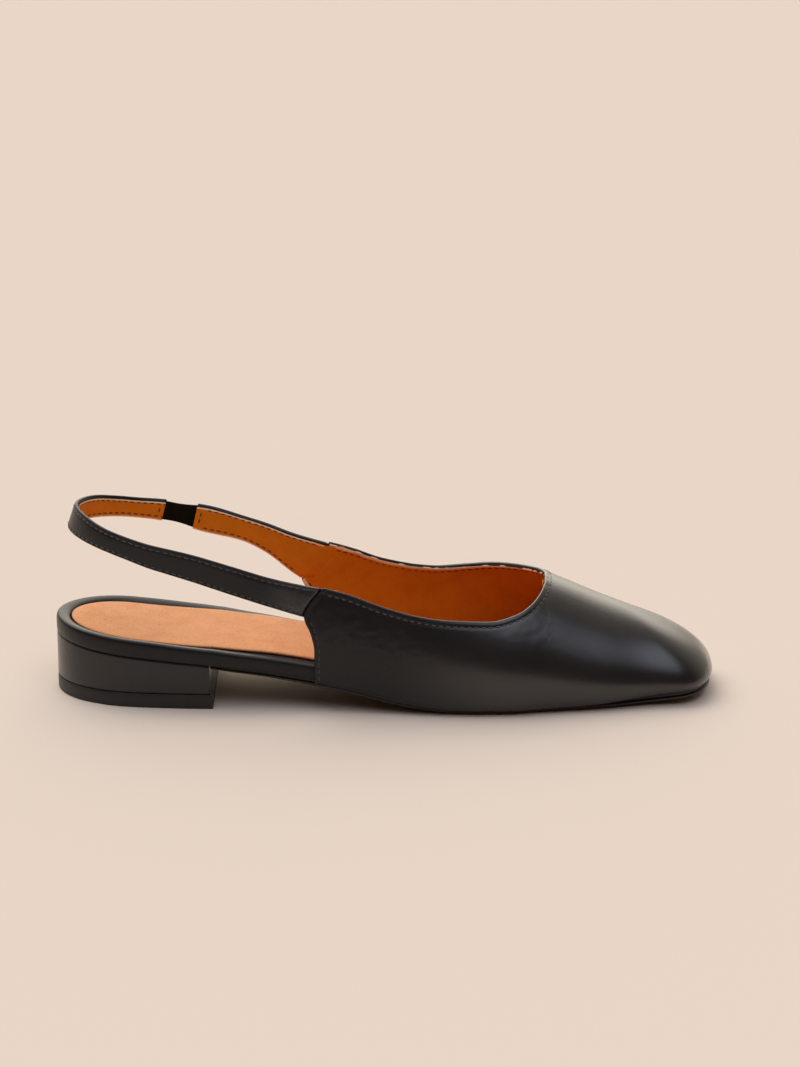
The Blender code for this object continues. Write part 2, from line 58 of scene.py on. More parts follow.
# Sizes shared with the solids
FOOTBED_LENGTH = 251.2 * MM
HEEL_LENGTH = 62 * MM
SEAT_WIDTH = 57 * MM
WAIST_WIDTH = 52 * MM
BALL_WIDTH = 75 * MM
TOE_WIDTH = 45 * MM
TOE_SWING = 6.2 * MM
SEAT_ROUND_LENGTH = 29 * MM
TOE_ROUND_LENGTH = 14 * MM
TOE_SQUARENESS = 2.5
HEEL_BACK_HEIGHT = 22.9 * MM
HEEL_BREAST_HEIGHT = 17.2 * MM
BREAST_SKEW = 2.4 * MM
TOP_PIECE_THICKNESS = 5.6 * MM
TOP_PIECE_LENGTH = 63.2 * MM
OUTSOLE_THICKNESS = 2.6 * MM
TOE_SPRING = 3.8 * MM
FEATHER_DROP = 1.0 * MM
FOOTBED_THICKNESS = 6.7 * MM
RIM_WIDTH = 5.6 * MM
RIM_ROUND = 1.6 * MM
SOCK_RECESS = 2.2 * MM
SOCK_THICKNESS = 0.9 * MM
FOREPART_INSET = 1.6 * MM
HEEL_INSET = 0.7 * MM
SOLE_MARGIN = 1.2 * MM
UPPER_WALL = 1.8 * MM
SIDE_BULGE = 5.0 * MM
INSTEP_HEIGHT = 84 * MM
THROAT_HEIGHT = 44.4 * MM
TOE_BOX_HEIGHT = 30.6 * MM
THROAT_STATION = 189 * MM
TOE_BOX_SETBACK = 28.5 * MM
TOE_FAN_SHARE = 0.4
SEAM_STATION = 105.5 * MM
TOPLINE_AT_SEAM = 48 * MM
STRAP_BACK_HEIGHT = 73.3 * MM
STRAP_HALF_SPREAD = 30 * MM
STRAP_BACK_STATION = 6 * MM
STRAP_ROUND_LENGTH = 35 * MM
STRAP_SQUARENESS = 1.8
STRAP_LEAN = 3.2 * MM
STRAP_THICKNESS = 1.9 * MM
ELASTIC_START = 40 * MM
ELASTIC_LENGTH = 12 * MM
ELASTIC_THICKNESS = 1.2 * MM
ELASTIC_NARROWING_SHARE = 0.06
END_SLANT = 2.4 * MM
GAP = 0.3 * MM
ORIGIN = np.array([126.65 * MM, 4.5 * MM, 0.0])

# Columns: share of the footbed's length, lateral and medial distance from the seat's axis
PLAN = (
    (0.00, 0.445 * SEAT_WIDTH, 0.500 * SEAT_WIDTH),
    (0.06, 0.450 * SEAT_WIDTH, 0.500 * SEAT_WIDTH),
    (0.095, 0.466 * SEAT_WIDTH, 0.500 * SEAT_WIDTH),
    (0.13, 0.487 * SEAT_WIDTH, 0.500 * SEAT_WIDTH),
    (0.16, 0.498 * SEAT_WIDTH, 0.499 * SEAT_WIDTH),
    (0.22, 0.510 * SEAT_WIDTH, 0.495 * SEAT_WIDTH),
    (0.30, 0.553 * WAIST_WIDTH, 0.505 * WAIST_WIDTH),
    (0.38, 0.540 * WAIST_WIDTH, 0.465 * WAIST_WIDTH),
    (0.46, 0.560 * WAIST_WIDTH, 0.480 * WAIST_WIDTH),
    (0.54, 0.410 * BALL_WIDTH, 0.405 * BALL_WIDTH),
    (0.62, 0.430 * BALL_WIDTH, 0.505 * BALL_WIDTH),
    (0.69, 0.420 * BALL_WIDTH, 0.550 * BALL_WIDTH),
    (0.76, 0.370 * BALL_WIDTH, 0.550 * BALL_WIDTH),
    (0.84, 0.318 * BALL_WIDTH, 0.510 * BALL_WIDTH),
    (0.92, 0.500 * TOE_WIDTH - 0.60 * TOE_SWING, 0.500 * TOE_WIDTH + 1.70 * TOE_SWING),
    (1.00, 0.500 * TOE_WIDTH - 1.00 * TOE_SWING, 0.500 * TOE_WIDTH + 1.00 * TOE_SWING),
)
# Columns: share of the footbed's length, share of the heel breast's height under the footbed
SHANK_SHARES = (
    (0.25, 1.0),
    (0.28, 0.932),
    (0.325, 0.842),
    (0.37, 0.730),
    (0.405, 0.632),
    (0.44, 0.515),
    (0.475, 0.385),
    (0.505, 0.265),
    (0.535, 0.158),
    (0.565, 0.078),
    (0.60, 0.025),
    (0.65, 0.0),
)
# Columns: share of the footbed's length, share of the toe spring
TOE_SHARES = ((0.745, 0.0), (0.81, 0.05), (0.89, 0.27), (0.965, 0.72), (1.00, 1.0))
# Columns: share of the footbed's length, of its thickness and rim, of its inset, of the recess
BOARD_SHARES = (
    (0.00, 1.00, 0.40, 1.00),
    (0.08, 1.00, 0.00, 1.00),
    (0.14, 1.00, 0.00, 1.00),
    (0.20, 0.96, 0.00, 0.80),
    (0.28, 0.91, 0.00, 0.30),
    (0.36, 0.875, 0.00, -0.10),
    (0.42, 0.86, 0.00, -0.10),
    (0.60, 0.50, 0.70, 0.30),
    (1.00, 0.45, 1.00, 0.45),
)
# Columns: share of the footbed's length, share of the sole's margin, of the upper's feather drop
SOLE_SHARES = (
    (0.25, -1.0, 1.0),
    (0.36, -0.7, 1.0),
    (0.46, -1.0, 1.0),
    (0.80, -1.0, 1.0),
    (0.92, -0.2, 0.0),
    (1.00, 1.0, 0.0),
)
# Columns: share of the footbed's length, share of the outsole's thickness
SOLE_THINNING = ((0.25, 0.58), (0.32, 0.70), (0.40, 1.0))
# Columns: share of the footbed's length, height of the last's ridge, its distance from the axis
RIDGE = (
    (0.34, INSTEP_HEIGHT, 0.0),
    (0.50, 0.70 * INSTEP_HEIGHT + 0.30 * THROAT_HEIGHT, 0.0),
    (0.64, 0.33 * INSTEP_HEIGHT + 0.67 * THROAT_HEIGHT, 0.35 * TOE_SWING),
    (0.755, THROAT_HEIGHT, 0.60 * TOE_SWING),
    (0.83, 0.40 * THROAT_HEIGHT + 0.60 * TOE_BOX_HEIGHT, 0.85 * TOE_SWING),
    (0.886, TOE_BOX_HEIGHT, 1.00 * TOE_SWING),
    (0.930, 0.84 * TOE_BOX_HEIGHT, 1.00 * TOE_SWING),
)
# Columns: share of the footbed's length, share of the bulge, reach of the low and the top handle
SECTIONS = (
    (0.36, 0.50, 0.50, 0.60),
    (0.60, 0.95, 0.50, 0.62),
    (0.75, 1.00, 0.50, 0.62),
    (0.90, 0.60, 0.42, 0.58),
    (1.00, 0.42, 0.35, 0.55),
)
# Columns: share of the throat's station, height on each side as a share of the throat's
TOPLINE = (
    (0.500, 1.137, 1.210),
    (0.560, 1.075, 1.158),
    (0.610, 1.023, 1.096),
    (0.675, 0.930, 0.992),
    (0.740, 0.858, 0.920),
    (0.790, 0.827, 0.894),
    (0.840, 0.811, 0.910),
    (0.890, 0.800, 0.938),
    (0.940, 0.838, 0.958),
    (0.970, 0.895, 0.966),
    (0.988, 0.950, 0.976),
    (1.000, 1.000, 1.000),
)
# Columns: height as a share of the topline's at the seam, station as a share of the seam's
REAR_EDGES = {
    LATERAL: ((0.0, 0.966), (0.50, 0.970), (0.64, 0.957), (0.775, 0.933), (1.0, 1.0)),
    MEDIAL: ((0.0, 0.962), (0.45, 0.962), (0.62, 0.925), (0.76, 0.890), (1.08, 1.0)),
}
# Columns: share of the seam's station, bottom and top edge as shares of the strap's back height
STRAP_EDGES = {
    LATERAL: (
        (0.057, 0.873, 1.000),
        (0.104, 0.862, 0.985),
        (0.190, 0.838, 0.950),
        (0.284, 0.806, 0.920),
        (0.389, 0.757, 0.885),
        (0.538, 0.689, 0.834),
        (0.673, 0.621, 0.775),
        (0.806, 0.555, 0.715),
        (0.925, 0.500, 0.675),
        (1.000, 0.470, 0.655),
    ),
    MEDIAL: (
        (0.057, 0.873, 1.000),
        (0.104, 0.862, 0.985),
        (0.190, 0.838, 0.950),
        (0.284, 0.810, 0.920),
        (0.389, 0.780, 0.902),
        (0.538, 0.722, 0.873),
        (0.673, 0.683, 0.820),
        (0.768, 0.625, 0.783),
        (0.850, 0.542, 0.747),
        (1.000, 0.400, 0.700),
    ),
}
# Columns: inset as a share of the rim's width, drop as a share of its roundness, of the recess
RIM_PROFILE = (
    (0.00, 1.00, 0.00),
    (0.05, 0.40, 0.00),
    (0.15, 0.08, 0.00),
    (0.32, 0.00, 0.04),
    (0.60, 0.00, 0.20),
    (0.86, 0.00, 0.55),
)
# Columns: distance from a strap's edge, depth under its outer face, both in millimetres
STRAP_ROUND = (
    (0.40, 1.28),
    (0.22, 1.24),
    (0.07, 1.08),
    (0.00, 0.80),
    (0.00, 0.50),
    (0.08, 0.24),
    (0.24, 0.08),
    (0.50, 0.00),
)
# Columns: the end that is measured from, distance from it in millimetres or, from end 0, as a
# share of the width, depth under a strap's inner face in millimetres, material
STRAP_INSIDE = (
    (1, 0.80, -0.08, 0),
    (1, 1.05, -0.12, 2),
    (1, 1.15, 0.14, 2),
    (1, 1.60, 0.16, 1),
    (0, 0.62, 0.06, 1),
    (0, 0.50, 0.04, 1),
    (0, 0.30, 0.06, 1),
    (-1, 0.78, 0.14, 2),
    (-1, 0.34, 0.12, 2),
    (-1, 0.24, -0.06, 0),
)
# Columns: distance from the stitches of a strap, depth under its outer face, in millimetres
STITCH_GROOVE = ((-0.45, -0.05), (-0.15, 0.04), (0.15, 0.06), (0.50, -0.04))
# Columns: distance out of the leather's face, distance beyond its edge, both in millimetres
EDGE_FOLD = tuple(
    (-0.66 + 0.70 * math.cos(math.pi * k / 8), 0.70 * math.sin(math.pi * k / 8) - 0.35)
    for k in range(9)
) + ((-1.36, -0.9), (-1.0, -1.3), (-0.3, -1.3), (-0.03, -0.95))
EDGE_BEAD = tuple(
    (-0.36 + 0.46 * math.cos(math.pi * k / 6), 0.46 * math.sin(math.pi * k / 6) - 0.05)
    for k in range(12)
)
RAW_EDGE = (
    (-1.20, -0.30),
    (-1.42, -0.08),
    (-1.86, -0.06),
    (-1.96, -0.18),
    (-1.97, -0.60),
    (-1.86, -1.20),
    (-1.20, -1.20),
)
# Columns: distance from the elastic's edge, depth under its outer face, both in millimetres
ELASTIC_ROUND = ((0.30, 1.16), (0.08, 0.95), (0.0, 0.60), (0.08, 0.25), (0.30, 0.04))
# Columns: inset, height over the footbed's underside, both in millimetres
FOOTBED_FOOT = ((0.9, 0), (0.25, 0.2), (0, 0.8), (-0.06, 0.45 * FOOTBED_THICKNESS / MM))
# Columns: inset, depth under the sock's face, both in millimetres
SOCK_EDGE = ((-0.05, 0.35), (0.10, 0.1), (0.6, 0), (2.5, -0.08), (7.5, -0.12))
# Columns: inset, distance from the heel block's underside or top, both in millimetres
BLOCK_FOOT = ((1.2, 0), (0.35, 0.05), (0.08, 0.3), (0, 0.9))
BLOCK_TOP = ((0, 0.9), (0.08, 0.35), (0.35, 0.06), (1.2, 0))
# Columns: inset, height over the floor, both in millimetres
TOP_PIECE_EDGE = ((0.8, 0), (0.25, 0.05), (0.05, 0.3), (0, 0.7), (-0.05, 2.8))
# Columns: inset and rise in millimetres, share of the way up the outsole
SOLE_EDGE = (
    (0.8, 0, 0),
    (0.25, 0.08, 0),
    (0, 0.3, 0),
    (-0.04, 0, 0.28),
    (0, 0, 0.40),
    (0.35, 0, 0.50),
    (0.85, 0, 0.62),
    (0.95, 0, 1),
)
# Stitches: from an edge of the quarter's and the straps' lining, how deep, short of a line's end
INNER_MARGIN, INNER_STRAP_MARGIN = 1.9 * MM, 1.75 * MM
STITCH_DEPTH, STITCH_SKIP = 0.08 * MM, 1.2 * MM
GROOVE_WIDTH, GROOVE_DEPTH = 0.50 * MM, 0.14 * MM
PUFF_WIDTH, PUFF_HEIGHT = 0.6 * MM, 0.07 * MM
FOOT_TURN_REACH, FOOT_TURN_DEPTH = 2.6 * MM, 1.25 * MM
LINING_RISE = 0.04 * MM
RAW_WAVE_LENGTH, RAW_WAVE_HEIGHT = 2.6 * MM, 0.16 * MM
STRAP_WAVE_LENGTH, STRAP_WAVE_HEIGHT = 2.4 * MM, 0.13 * MM
MERGE_DISTANCE = 0.015 * MM
RAW_TONES = (0.95, 0.62, 0.40), (0.80, 0.40, 0.20)
# The camera: focal length in pixels, pixels per millimetre at the heel, height, the heel's place
FOCAL_PIXELS, PIXELS_PER_MM, CAMERA_ELEVATION = 3200.0, 2.64, math.radians(19.5)
HEEL_IN_VIEW = np.array([-133.0 * MM, 32.5 * MM, 0])
# Columns: direction of a soft light, half its width to where it fades and where it ends, colour
SOFT_LIGHTS = (
    ((-0.05, 0.87, 0.47), 14, 34, (2.1, 1.93, 1.68)),
    ((-0.38, 0.26, 0.89), 10, 34, (3.25, 3.2, 3.15)),
    ((0.16, -0.38, 0.91), 8, 38, (1.50, 1.58, 1.80)),
)
FRONT_LIGHT, BACK_LIGHT = (0.07, 0.038, 0.012), (0.46, 0.40, 0.32)


# Shapes


class Curve:
    """A smooth curve through one column of a table, with no overshoot between its rows."""

    def __init__(self, rows, column=1):
        self.x = np.array([row[0] for row in rows], float)
        self.y = np.array([row[column] for row in rows], float)
        run = np.diff(self.x)
        slope = np.diff(self.y) / run
        tangent = np.zeros(len(self.x))
        tangent[0], tangent[-1] = slope[0], slope[-1]
        for i in range(1, len(slope)):
            if slope[i - 1] * slope[i] > 0:
                before = 2 * run[i] + run[i - 1]
                after = run[i] + 2 * run[i - 1]
                tangent[i] = (before + after) / (before / slope[i - 1] + after / slope[i])
        self.tangent = tangent

    def __call__(self, x):
        x = np.clip(x, self.x[0], self.x[-1])
        i = np.clip(np.searchsorted(self.x, x) - 1, 0, len(self.x) - 2)
        run = self.x[i + 1] - self.x[i]
        t = (x - self.x[i]) / run
        value = self.y[i] * (1 + 2 * t) * (1 - t) ** 2 + self.y[i + 1] * t * t * (3 - 2 * t)
        return value + run * t * (1 - t) * ((1 - t) * self.tangent[i] - t * self.tangent[i + 1])


def smooth(t):
    t = np.clip(t, 0, 1)
    return t * t * (3 - 2 * t)


def unit(vectors):
    return vectors / np.maximum(np.linalg.norm(vectors, axis=-1, keepdims=True), 1e-12)


LATERAL_EDGE, MEDIAL_EDGE = Curve(PLAN, 1), Curve(PLAN, 2)
SHANK_CURVE, TOE_CURVE = Curve(SHANK_SHARES), Curve(TOE_SHARES)
BOARD_KEPT, BOARD_CUT, BOARD_RECESS = (Curve(BOARD_SHARES, column) for column in (1, 2, 3))
SOLE_EDGE_CURVE, FEATHER_CURVE = Curve(SOLE_SHARES, 1), Curve(SOLE_SHARES, 2)
SOLE_THIN_CURVE = Curve(SOLE_THINNING)
RIDGE_HEIGHT, RIDGE_OFFSET = Curve(RIDGE, 1), Curve(RIDGE, 2)
BULGE, LOW_HANDLE, TOP_HANDLE = (Curve(SECTIONS, column) for column in (1, 2, 3))
TOPLINE_HEIGHT = {LATERAL: Curve(TOPLINE, 1), MEDIAL: Curve(TOPLINE, 2)}
REAR_EDGE = {side: Curve(rows) for side, rows in REAR_EDGES.items()}
STRAP_BOTTOM = {side: Curve(rows, 1) for side, rows in STRAP_EDGES.items()}
STRAP_TOP = {side: Curve(rows, 2) for side, rows in STRAP_EDGES.items()}


def plan_y(side, x):
    """Signed distance from the axis of the footbed's edge, rounded off at heel and toe."""
    share = x / FOOTBED_LENGTH
    lateral, medial = LATERAL_EDGE(share), MEDIAL_EDGE(share)
    behind = np.clip(1 - x / SEAT_ROUND_LENGTH, 0, 1)
    ahead = np.clip(1 - (FOOTBED_LENGTH - x) / TOE_ROUND_LENGTH, 0, 1)
    seat_round = np.sqrt(1 - behind**2)
    toe_round = (1 - ahead**TOE_SQUARENESS) ** (1 / TOE_SQUARENESS)
    return (medial - lateral) / 2 + side * (medial + lateral) / 2 * seat_round * toe_round


def base_height(x):
    """Height of the footbed's underside above the floor."""
    share = x / FOOTBED_LENGTH
    shank = (HEEL_BREAST_HEIGHT - OUTSOLE_THICKNESS) * SHANK_CURVE(share)
    seat = (HEEL_BACK_HEIGHT - HEEL_BREAST_HEIGHT) * np.clip(1 - x / HEEL_LENGTH, 0, 1)
    return OUTSOLE_THICKNESS + shank + seat + TOE_SPRING * TOE_CURVE(share)


class SidePath:
    """One side of the footbed's outline, from the back of the heel to the middle of the toe."""

    def __init__(self, side, samples=6000):
        x = FOOTBED_LENGTH * (1 - np.cos(np.linspace(0, math.pi, samples))) / 2
        self.x, self.y = x, plan_y(side, x)
        self.run = np.concatenate([[0], np.cumsum(np.hypot(np.diff(x), np.diff(self.y)))])
        across = unit(np.stack([-np.gradient(self.y), np.gradient(x)], axis=-1)) * side
        across[0], across[-1] = (-1, 0), (1, 0)
        self.normals = across

    def at(self, run, outwards=0.0):
        """Points of the outline at distances along it, moved outwards, and the normals there."""
        point = np.stack([np.interp(run, self.run, self.x), np.interp(run, self.run, self.y)], -1)
        normal = [np.interp(run, self.run, self.normals[:, k]) for k in (0, 1)]
        normal = unit(np.stack(normal, axis=-1))
        outwards = np.asarray(outwards)
        return point + outwards[..., None] * normal, normal

    def run_at(self, x):
        return np.interp(x, self.x, self.run)


PATHS = {side: SidePath(side) for side in (LATERAL, MEDIAL)}


def ridge_station(side, run):
    """Where on the ridge the section from this place on the outline ends."""
    path = PATHS[side]
    throat_run = path.run_at(THROAT_STATION)
    a = np.clip((run - throat_run) / (path.run[-1] - throat_run), 0, 1)
    length = sum(p.run[-1] - p.run_at(THROAT_STATION) for p in PATHS.values()) / 2
    reach = FOOTBED_LENGTH - TOE_BOX_SETBACK - THROAT_STATION
    bend = length / reach * (1 - a) ** 2 - TOE_FAN_SHARE * a * (1 - a)
    ahead = THROAT_STATION + reach * a * (bend + a * (3 - 2 * a))
    return np.where(run <= throat_run, np.interp(run, path.run, path.x), ahead)


def last_point(side, run, up):
    """Outer face of the upper: up is 0 at the sole's edge and 1 on the last's ridge."""
    path = PATHS[side]
    run, up = np.broadcast_arrays(np.asarray(run, float), np.asarray(up, float))
    foot, normal = path.at(run, np.full(run.shape, GAP + UPPER_WALL))
    station = np.interp(run, path.run, path.x)
    share = station / FOOTBED_LENGTH
    ridge_x = ridge_station(side, run)
    ridge_share = ridge_x / FOOTBED_LENGTH
    ridge = np.stack([ridge_x, RIDGE_OFFSET(ridge_share)], -1)
    top = RIDGE_HEIGHT(ridge_share)
    nudge = 0.004
    rise = RIDGE_HEIGHT(ridge_share + nudge) - RIDGE_HEIGHT(ridge_share - nudge)
    fall = rise / (2 * nudge * FOOTBED_LENGTH)
    low = base_height(station) - FEATHER_DROP * FEATHER_CURVE(share)
    swollen = foot + normal * (SIDE_BULGE * BULGE(share))[..., None]
    inner = ridge + (foot - ridge) * TOP_HANDLE(share)[..., None]
    handles = (
        (foot, low),
        (swollen, low + LOW_HANDLE(share) * (top - low)),
        (inner, top + fall * (inner[..., 0] - ridge_x)),
        (ridge, top),
    )
    weights = ((1 - up) ** 3, 3 * up * (1 - up) ** 2, 3 * up * up * (1 - up), up**3)
    place = sum(w[..., None] * plan for w, (plan, _) in zip(weights, handles))
    height = sum(w * level for w, (_, level) in zip(weights, handles))
    return np.concatenate([place, height[..., None]], -1)


def up_for_height(side, run, height):
    """How far up the sections at these places the surface reaches a height."""
    low, high = np.zeros(np.shape(run)), np.ones(np.shape(run))
    for _ in range(40):
        middle = (low + high) / 2
        below = last_point(side, run, middle)[..., 2] < height
        low, high = np.where(below, middle, low), np.where(below, high, middle)
    return (low + high) / 2


def topline_height(side, x):
    return THROAT_HEIGHT * TOPLINE_HEIGHT[side](x / THROAT_STATION)


def rear_edge_station(side, height):
    return SEAM_STATION * REAR_EDGE[side](height / TOPLINE_AT_SEAM)


def surface_at(side, x, height):
    run = PATHS[side].run_at(x)
    return last_point(side, run, up_for_height(side, run, height))


def upper_side(side, shares, rows):
    """Outer face of one side; share runs 0 to 1 to the throat and 1 to 2 to the toe."""
    path = PATHS[side]
    throat_run = path.run_at(THROAT_STATION)
    corner_run = path.run_at(SEAM_STATION)
    run = corner_run + np.minimum(shares, 1) * (throat_run - corner_run)
    top = np.where(
        shares < 1,
        up_for_height(side, run, topline_height(side, np.interp(run, path.run, path.x))),
        1.0,
    )
    up = rows[None, :] * top[:, None]
    edge = np.full(up.shape, float(corner_run))
    for _ in range(12):
        edge = path.run_at(rear_edge_station(side, last_point(side, edge, up)[..., 2]))
    near = np.minimum(shares, 1)[:, None]
    ahead = np.maximum(shares - 1, 0)[:, None]
    run = edge + near * (throat_run - edge) + ahead * (path.run[-1] - throat_run)
    return last_point(side, run, up)


def strap_point(side, x, up, inset=0.0):
    """Points on a strap: up is 0 on its bottom edge and 1 on its top edge."""
    share = x / SEAM_STATION
    low = STRAP_BACK_HEIGHT * STRAP_BOTTOM[side](share)
    high = STRAP_BACK_HEIGHT * STRAP_TOP[side](share)
    round_end = STRAP_BACK_STATION + STRAP_ROUND_LENGTH
    behind = np.clip((round_end - x) / STRAP_ROUND_LENGTH, 0, 1)
    spread = (1 - behind**STRAP_SQUARENESS) ** (1 / STRAP_SQUARENESS) * STRAP_HALF_SPREAD
    lean = STRAP_LEAN * up * behind
    return np.stack([x + lean, side * (spread - inset), low + up * (high - low)], -1)


def seam_points(side, ups, ahead=0.0):
    """Points beside the upper's rear edge, from the strap's bottom edge to its top."""
    rows = REAR_EDGES[side]
    low, high = rows[-2][0] * TOPLINE_AT_SEAM, rows[-1][0] * TOPLINE_AT_SEAM
    height = low + ups * (min(high, topline_height(side, SEAM_STATION)) - low)
    return surface_at(side, rear_edge_station(side, height) - 2 * GAP + ahead, height)


def seamed_face(side, start, shares, ups, slant=0.0):
    """A strap's face from a station forward to the seam."""
    seam = seam_points(side, ups)[None, :, :]
    share, up = np.meshgrid(shares, ups, indexing="ij")
    slanted_start = start + (up - 0.5) * slant
    x = slanted_start + share * (seam[..., 0] - slanted_start)
    own = strap_point(side, x, up)
    end = strap_point(side, seam[..., 0], ups[None, :])
    return own + (seam - end) * (smooth(share) * share)[..., None]


def tucked_face(side, start, ups, slant=0.0):
    """A strap's face up to the seam and on under the quarter, and how deep each line dips."""
    length = SEAM_STATION - start
    near = 1 - np.array([1.4, 1.0, 0.7, 0.45, 0.2, 0.0]) * MM / length
    shares = np.concatenate([np.linspace(0, 0.955, 46), near])
    face = seamed_face(side, start, shares, ups, slant)
    steps = np.array([0.5, 1.2]) * MM
    under = np.stack([seam_points(side, ups, ahead) for ahead in steps])
    behind = np.concatenate([(1 - shares) * length, -steps])
    return np.concatenate([face, under]), 0.85 * MM * smooth((1.2 * MM - behind) / (1.7 * MM))


def face_normals(grid):
    """Unit normals of a grid of points, along the first axis crossed with the second."""
    return unit(np.cross(np.gradient(grid, axis=0), np.gradient(grid, axis=1)))


def measured(points):
    """Distance along a line of points."""
    return np.concatenate([[0], np.cumsum(np.linalg.norm(np.diff(points, axis=0), axis=-1))])


def respaced(points, normals, step):
    """A line of points and normals at even steps."""
    along = measured(points)
    count = max(int(round(along[-1] / step)), 2) + 1
    at = np.linspace(0, along[-1], count)
    moved = np.stack([np.interp(at, along, points[:, k]) for k in range(3)], -1)
    turned = np.stack([np.interp(at, along, normals[:, k]) for k in range(3)], -1)
    return moved, unit(turned)


# Meshes


def put(name, mesh, materials, node=None, slot=None, smooth_angle=None):
    """Turn a bmesh into a piece of the shoe, in the row's own frame."""
    bmesh.ops.translate(mesh, verts=mesh.verts, vec=-Vector(ORIGIN))
    data = bpy.data.meshes.new(name)
    mesh.to_mesh(data)
    mesh.free()
    data.polygons.foreach_set("use_smooth", [True] * len(data.polygons))
    if smooth_angle:
        data.set_sharp_from_angle(angle=math.radians(smooth_angle))
    for material in materials:
        data.materials.append(material)
    piece = bpy.data.objects.new(name, data)
    bpy.context.scene.collection.objects.link(piece)
    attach(piece, "root")
    if node:
        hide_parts(*([node] if isinstance(node, str) else node))
    return piece


def put_closed(name, mesh, *rest):
    """Put a piece made of closed shells, once their faces all look outwards."""
    bmesh.ops.recalc_face_normals(mesh, faces=mesh.faces)
    return put(name, mesh, *rest)


def add_grid(mesh, points, closed=False, row_materials=None, caps=False):
    """Quads over a grid of points; closed joins the last column of each line to the first."""
    verts = [[mesh.verts.new(point) for point in line] for line in points]
    width = len(verts[0])
    for left, right in zip(verts, verts[1:]):
        for k in range(width if closed else width - 1):
            j = (k + 1) % width
            face = mesh.faces.new((left[k], right[k], right[j], left[j]))
            face.material_index = row_materials[k] if row_materials else 0
    if caps:
        mesh.faces.new(verts[0])
        mesh.faces.new(verts[-1][::-1])
    return verts


def sweep(mesh, points, normals, profile, flip):
    """A closed profile of (out, across) millimetres carried along a line on a surface."""
    along = unit(np.gradient(points, axis=0))
    across = unit(np.cross(along, normals)) * flip
    profile = np.array(profile) * MM
    rings = (
        points[:, None, :]
        + normals[:, None, :] * profile[None, :, :1]
        + across[:, None, :] * profile[None, :, 1:]
    )
    add_grid(mesh, rings, closed=True, caps=True)


def add_stitches(mesh, points, normals, pitch, length, radius, proud=0.35, skip=0.0):
    """Thread dashes laid along a line on a surface, each half sunk in it."""
    fine, fine_normals = respaced(points, normals, 0.4 * MM)
    along = measured(fine)
    count = int((along[-1] - 2 * skip) / pitch)
    start = (along[-1] - (count - 1) * pitch) / 2
    rings, segments = 6, 6
    for i in range(count):
        ends = []
        for k in range(rings + 1):
            at = start + i * pitch + (k / rings - 0.5) * length
            place = np.array([np.interp(at, along, fine[:, c]) for c in range(3)])
            normal = unit(np.array([np.interp(at, along, fine_normals[:, c]) for c in range(3)]))
            ahead = np.array([np.interp(at + 0.2 * MM, along, fine[:, c]) for c in range(3)])
            behind = np.array([np.interp(at - 0.2 * MM, along, fine[:, c]) for c in range(3)])
            forward = unit(ahead - behind)
            side = np.cross(forward, normal)
            swell = math.sqrt(max(1 - abs(2 * k / rings - 1) ** 2.6, 0.0))
            dip = radius * (proud + 0.45 * (swell - 1))
            ring = []
            for s in range(segments):
                turn = 2 * math.pi * s / segments
                offset = math.cos(turn) * side + math.sin(turn) * normal * 0.8
                ring.append(place + normal * dip + offset * radius * max(swell, 0.12))
            ends.append(ring)
        add_grid(mesh, ends, closed=True, caps=True)


def breast_skew(x):
    """How much further back the inner side's stations lie, so that the heel's breast slants."""
    behind = x / HEEL_LENGTH
    return BREAST_SKEW * np.clip(np.where(behind < 1, behind, 2 - behind), 0, 1)


def board(mesh, stations, rings, close_start=False, close_end=False, skewed=False):
    """A closed board from rings given as functions of a station: inset and height."""
    verts = {}
    for side in (LATERAL, MEDIAL):
        x = stations - breast_skew(stations) if skewed and side == MEDIAL else stations
        run = PATHS[side].run_at(x)
        for k, ring in enumerate(rings):
            inset, height = ring(x)
            inset = np.broadcast_to(inset, x.shape)
            height = np.broadcast_to(height, x.shape)
            place, _ = PATHS[side].at(run, -inset)
            for i in range(len(x)):
                verts[side, i, k] = mesh.verts.new((place[i, 0], place[i, 1], height[i]))
    last = len(stations) - 1

    def face(*corners):
        mesh.faces.new([verts[c] for c in corners])

    for side in (LATERAL, MEDIAL):
        for i in range(last):
            for k in range(len(rings) - 1):
                face((side, i, k), (side, i + 1, k), (side, i + 1, k + 1), (side, i, k + 1))
    for k in (0, len(rings) - 1):
        for i in range(last):
            face((LATERAL, i, k), (LATERAL, i + 1, k), (MEDIAL, i + 1, k), (MEDIAL, i, k))
    for i, wanted in ((0, close_start), (last, close_end)):
        if wanted:
            for k in range(len(rings) - 1):
                face((LATERAL, i, k), (LATERAL, i, k + 1), (MEDIAL, i, k + 1), (MEDIAL, i, k))
    bmesh.ops.remove_doubles(mesh, verts=mesh.verts, dist=0.01 * MM)
    bmesh.ops.recalc_face_normals(mesh, faces=mesh.faces)


def station_list(start, end, count):
    """Stations spaced evenly round the outline, closer together at heel and toe."""
    path = PATHS[LATERAL]
    run = np.linspace(path.run_at(start), path.run_at(end), 4000)
    x = np.interp(run, path.run, path.x)
    near_end = np.minimum(x / SEAT_ROUND_LENGTH, (FOOTBED_LENGTH - x) / (2 * TOE_ROUND_LENGTH))
    density = 1 + 1.6 * np.clip(1 - near_end, 0, 1)
    weight = np.concatenate([[0], np.cumsum((density[1:] + density[:-1]) / 2)])
    return np.interp(np.linspace(0, weight[-1], count), weight, x)


# Shader maths


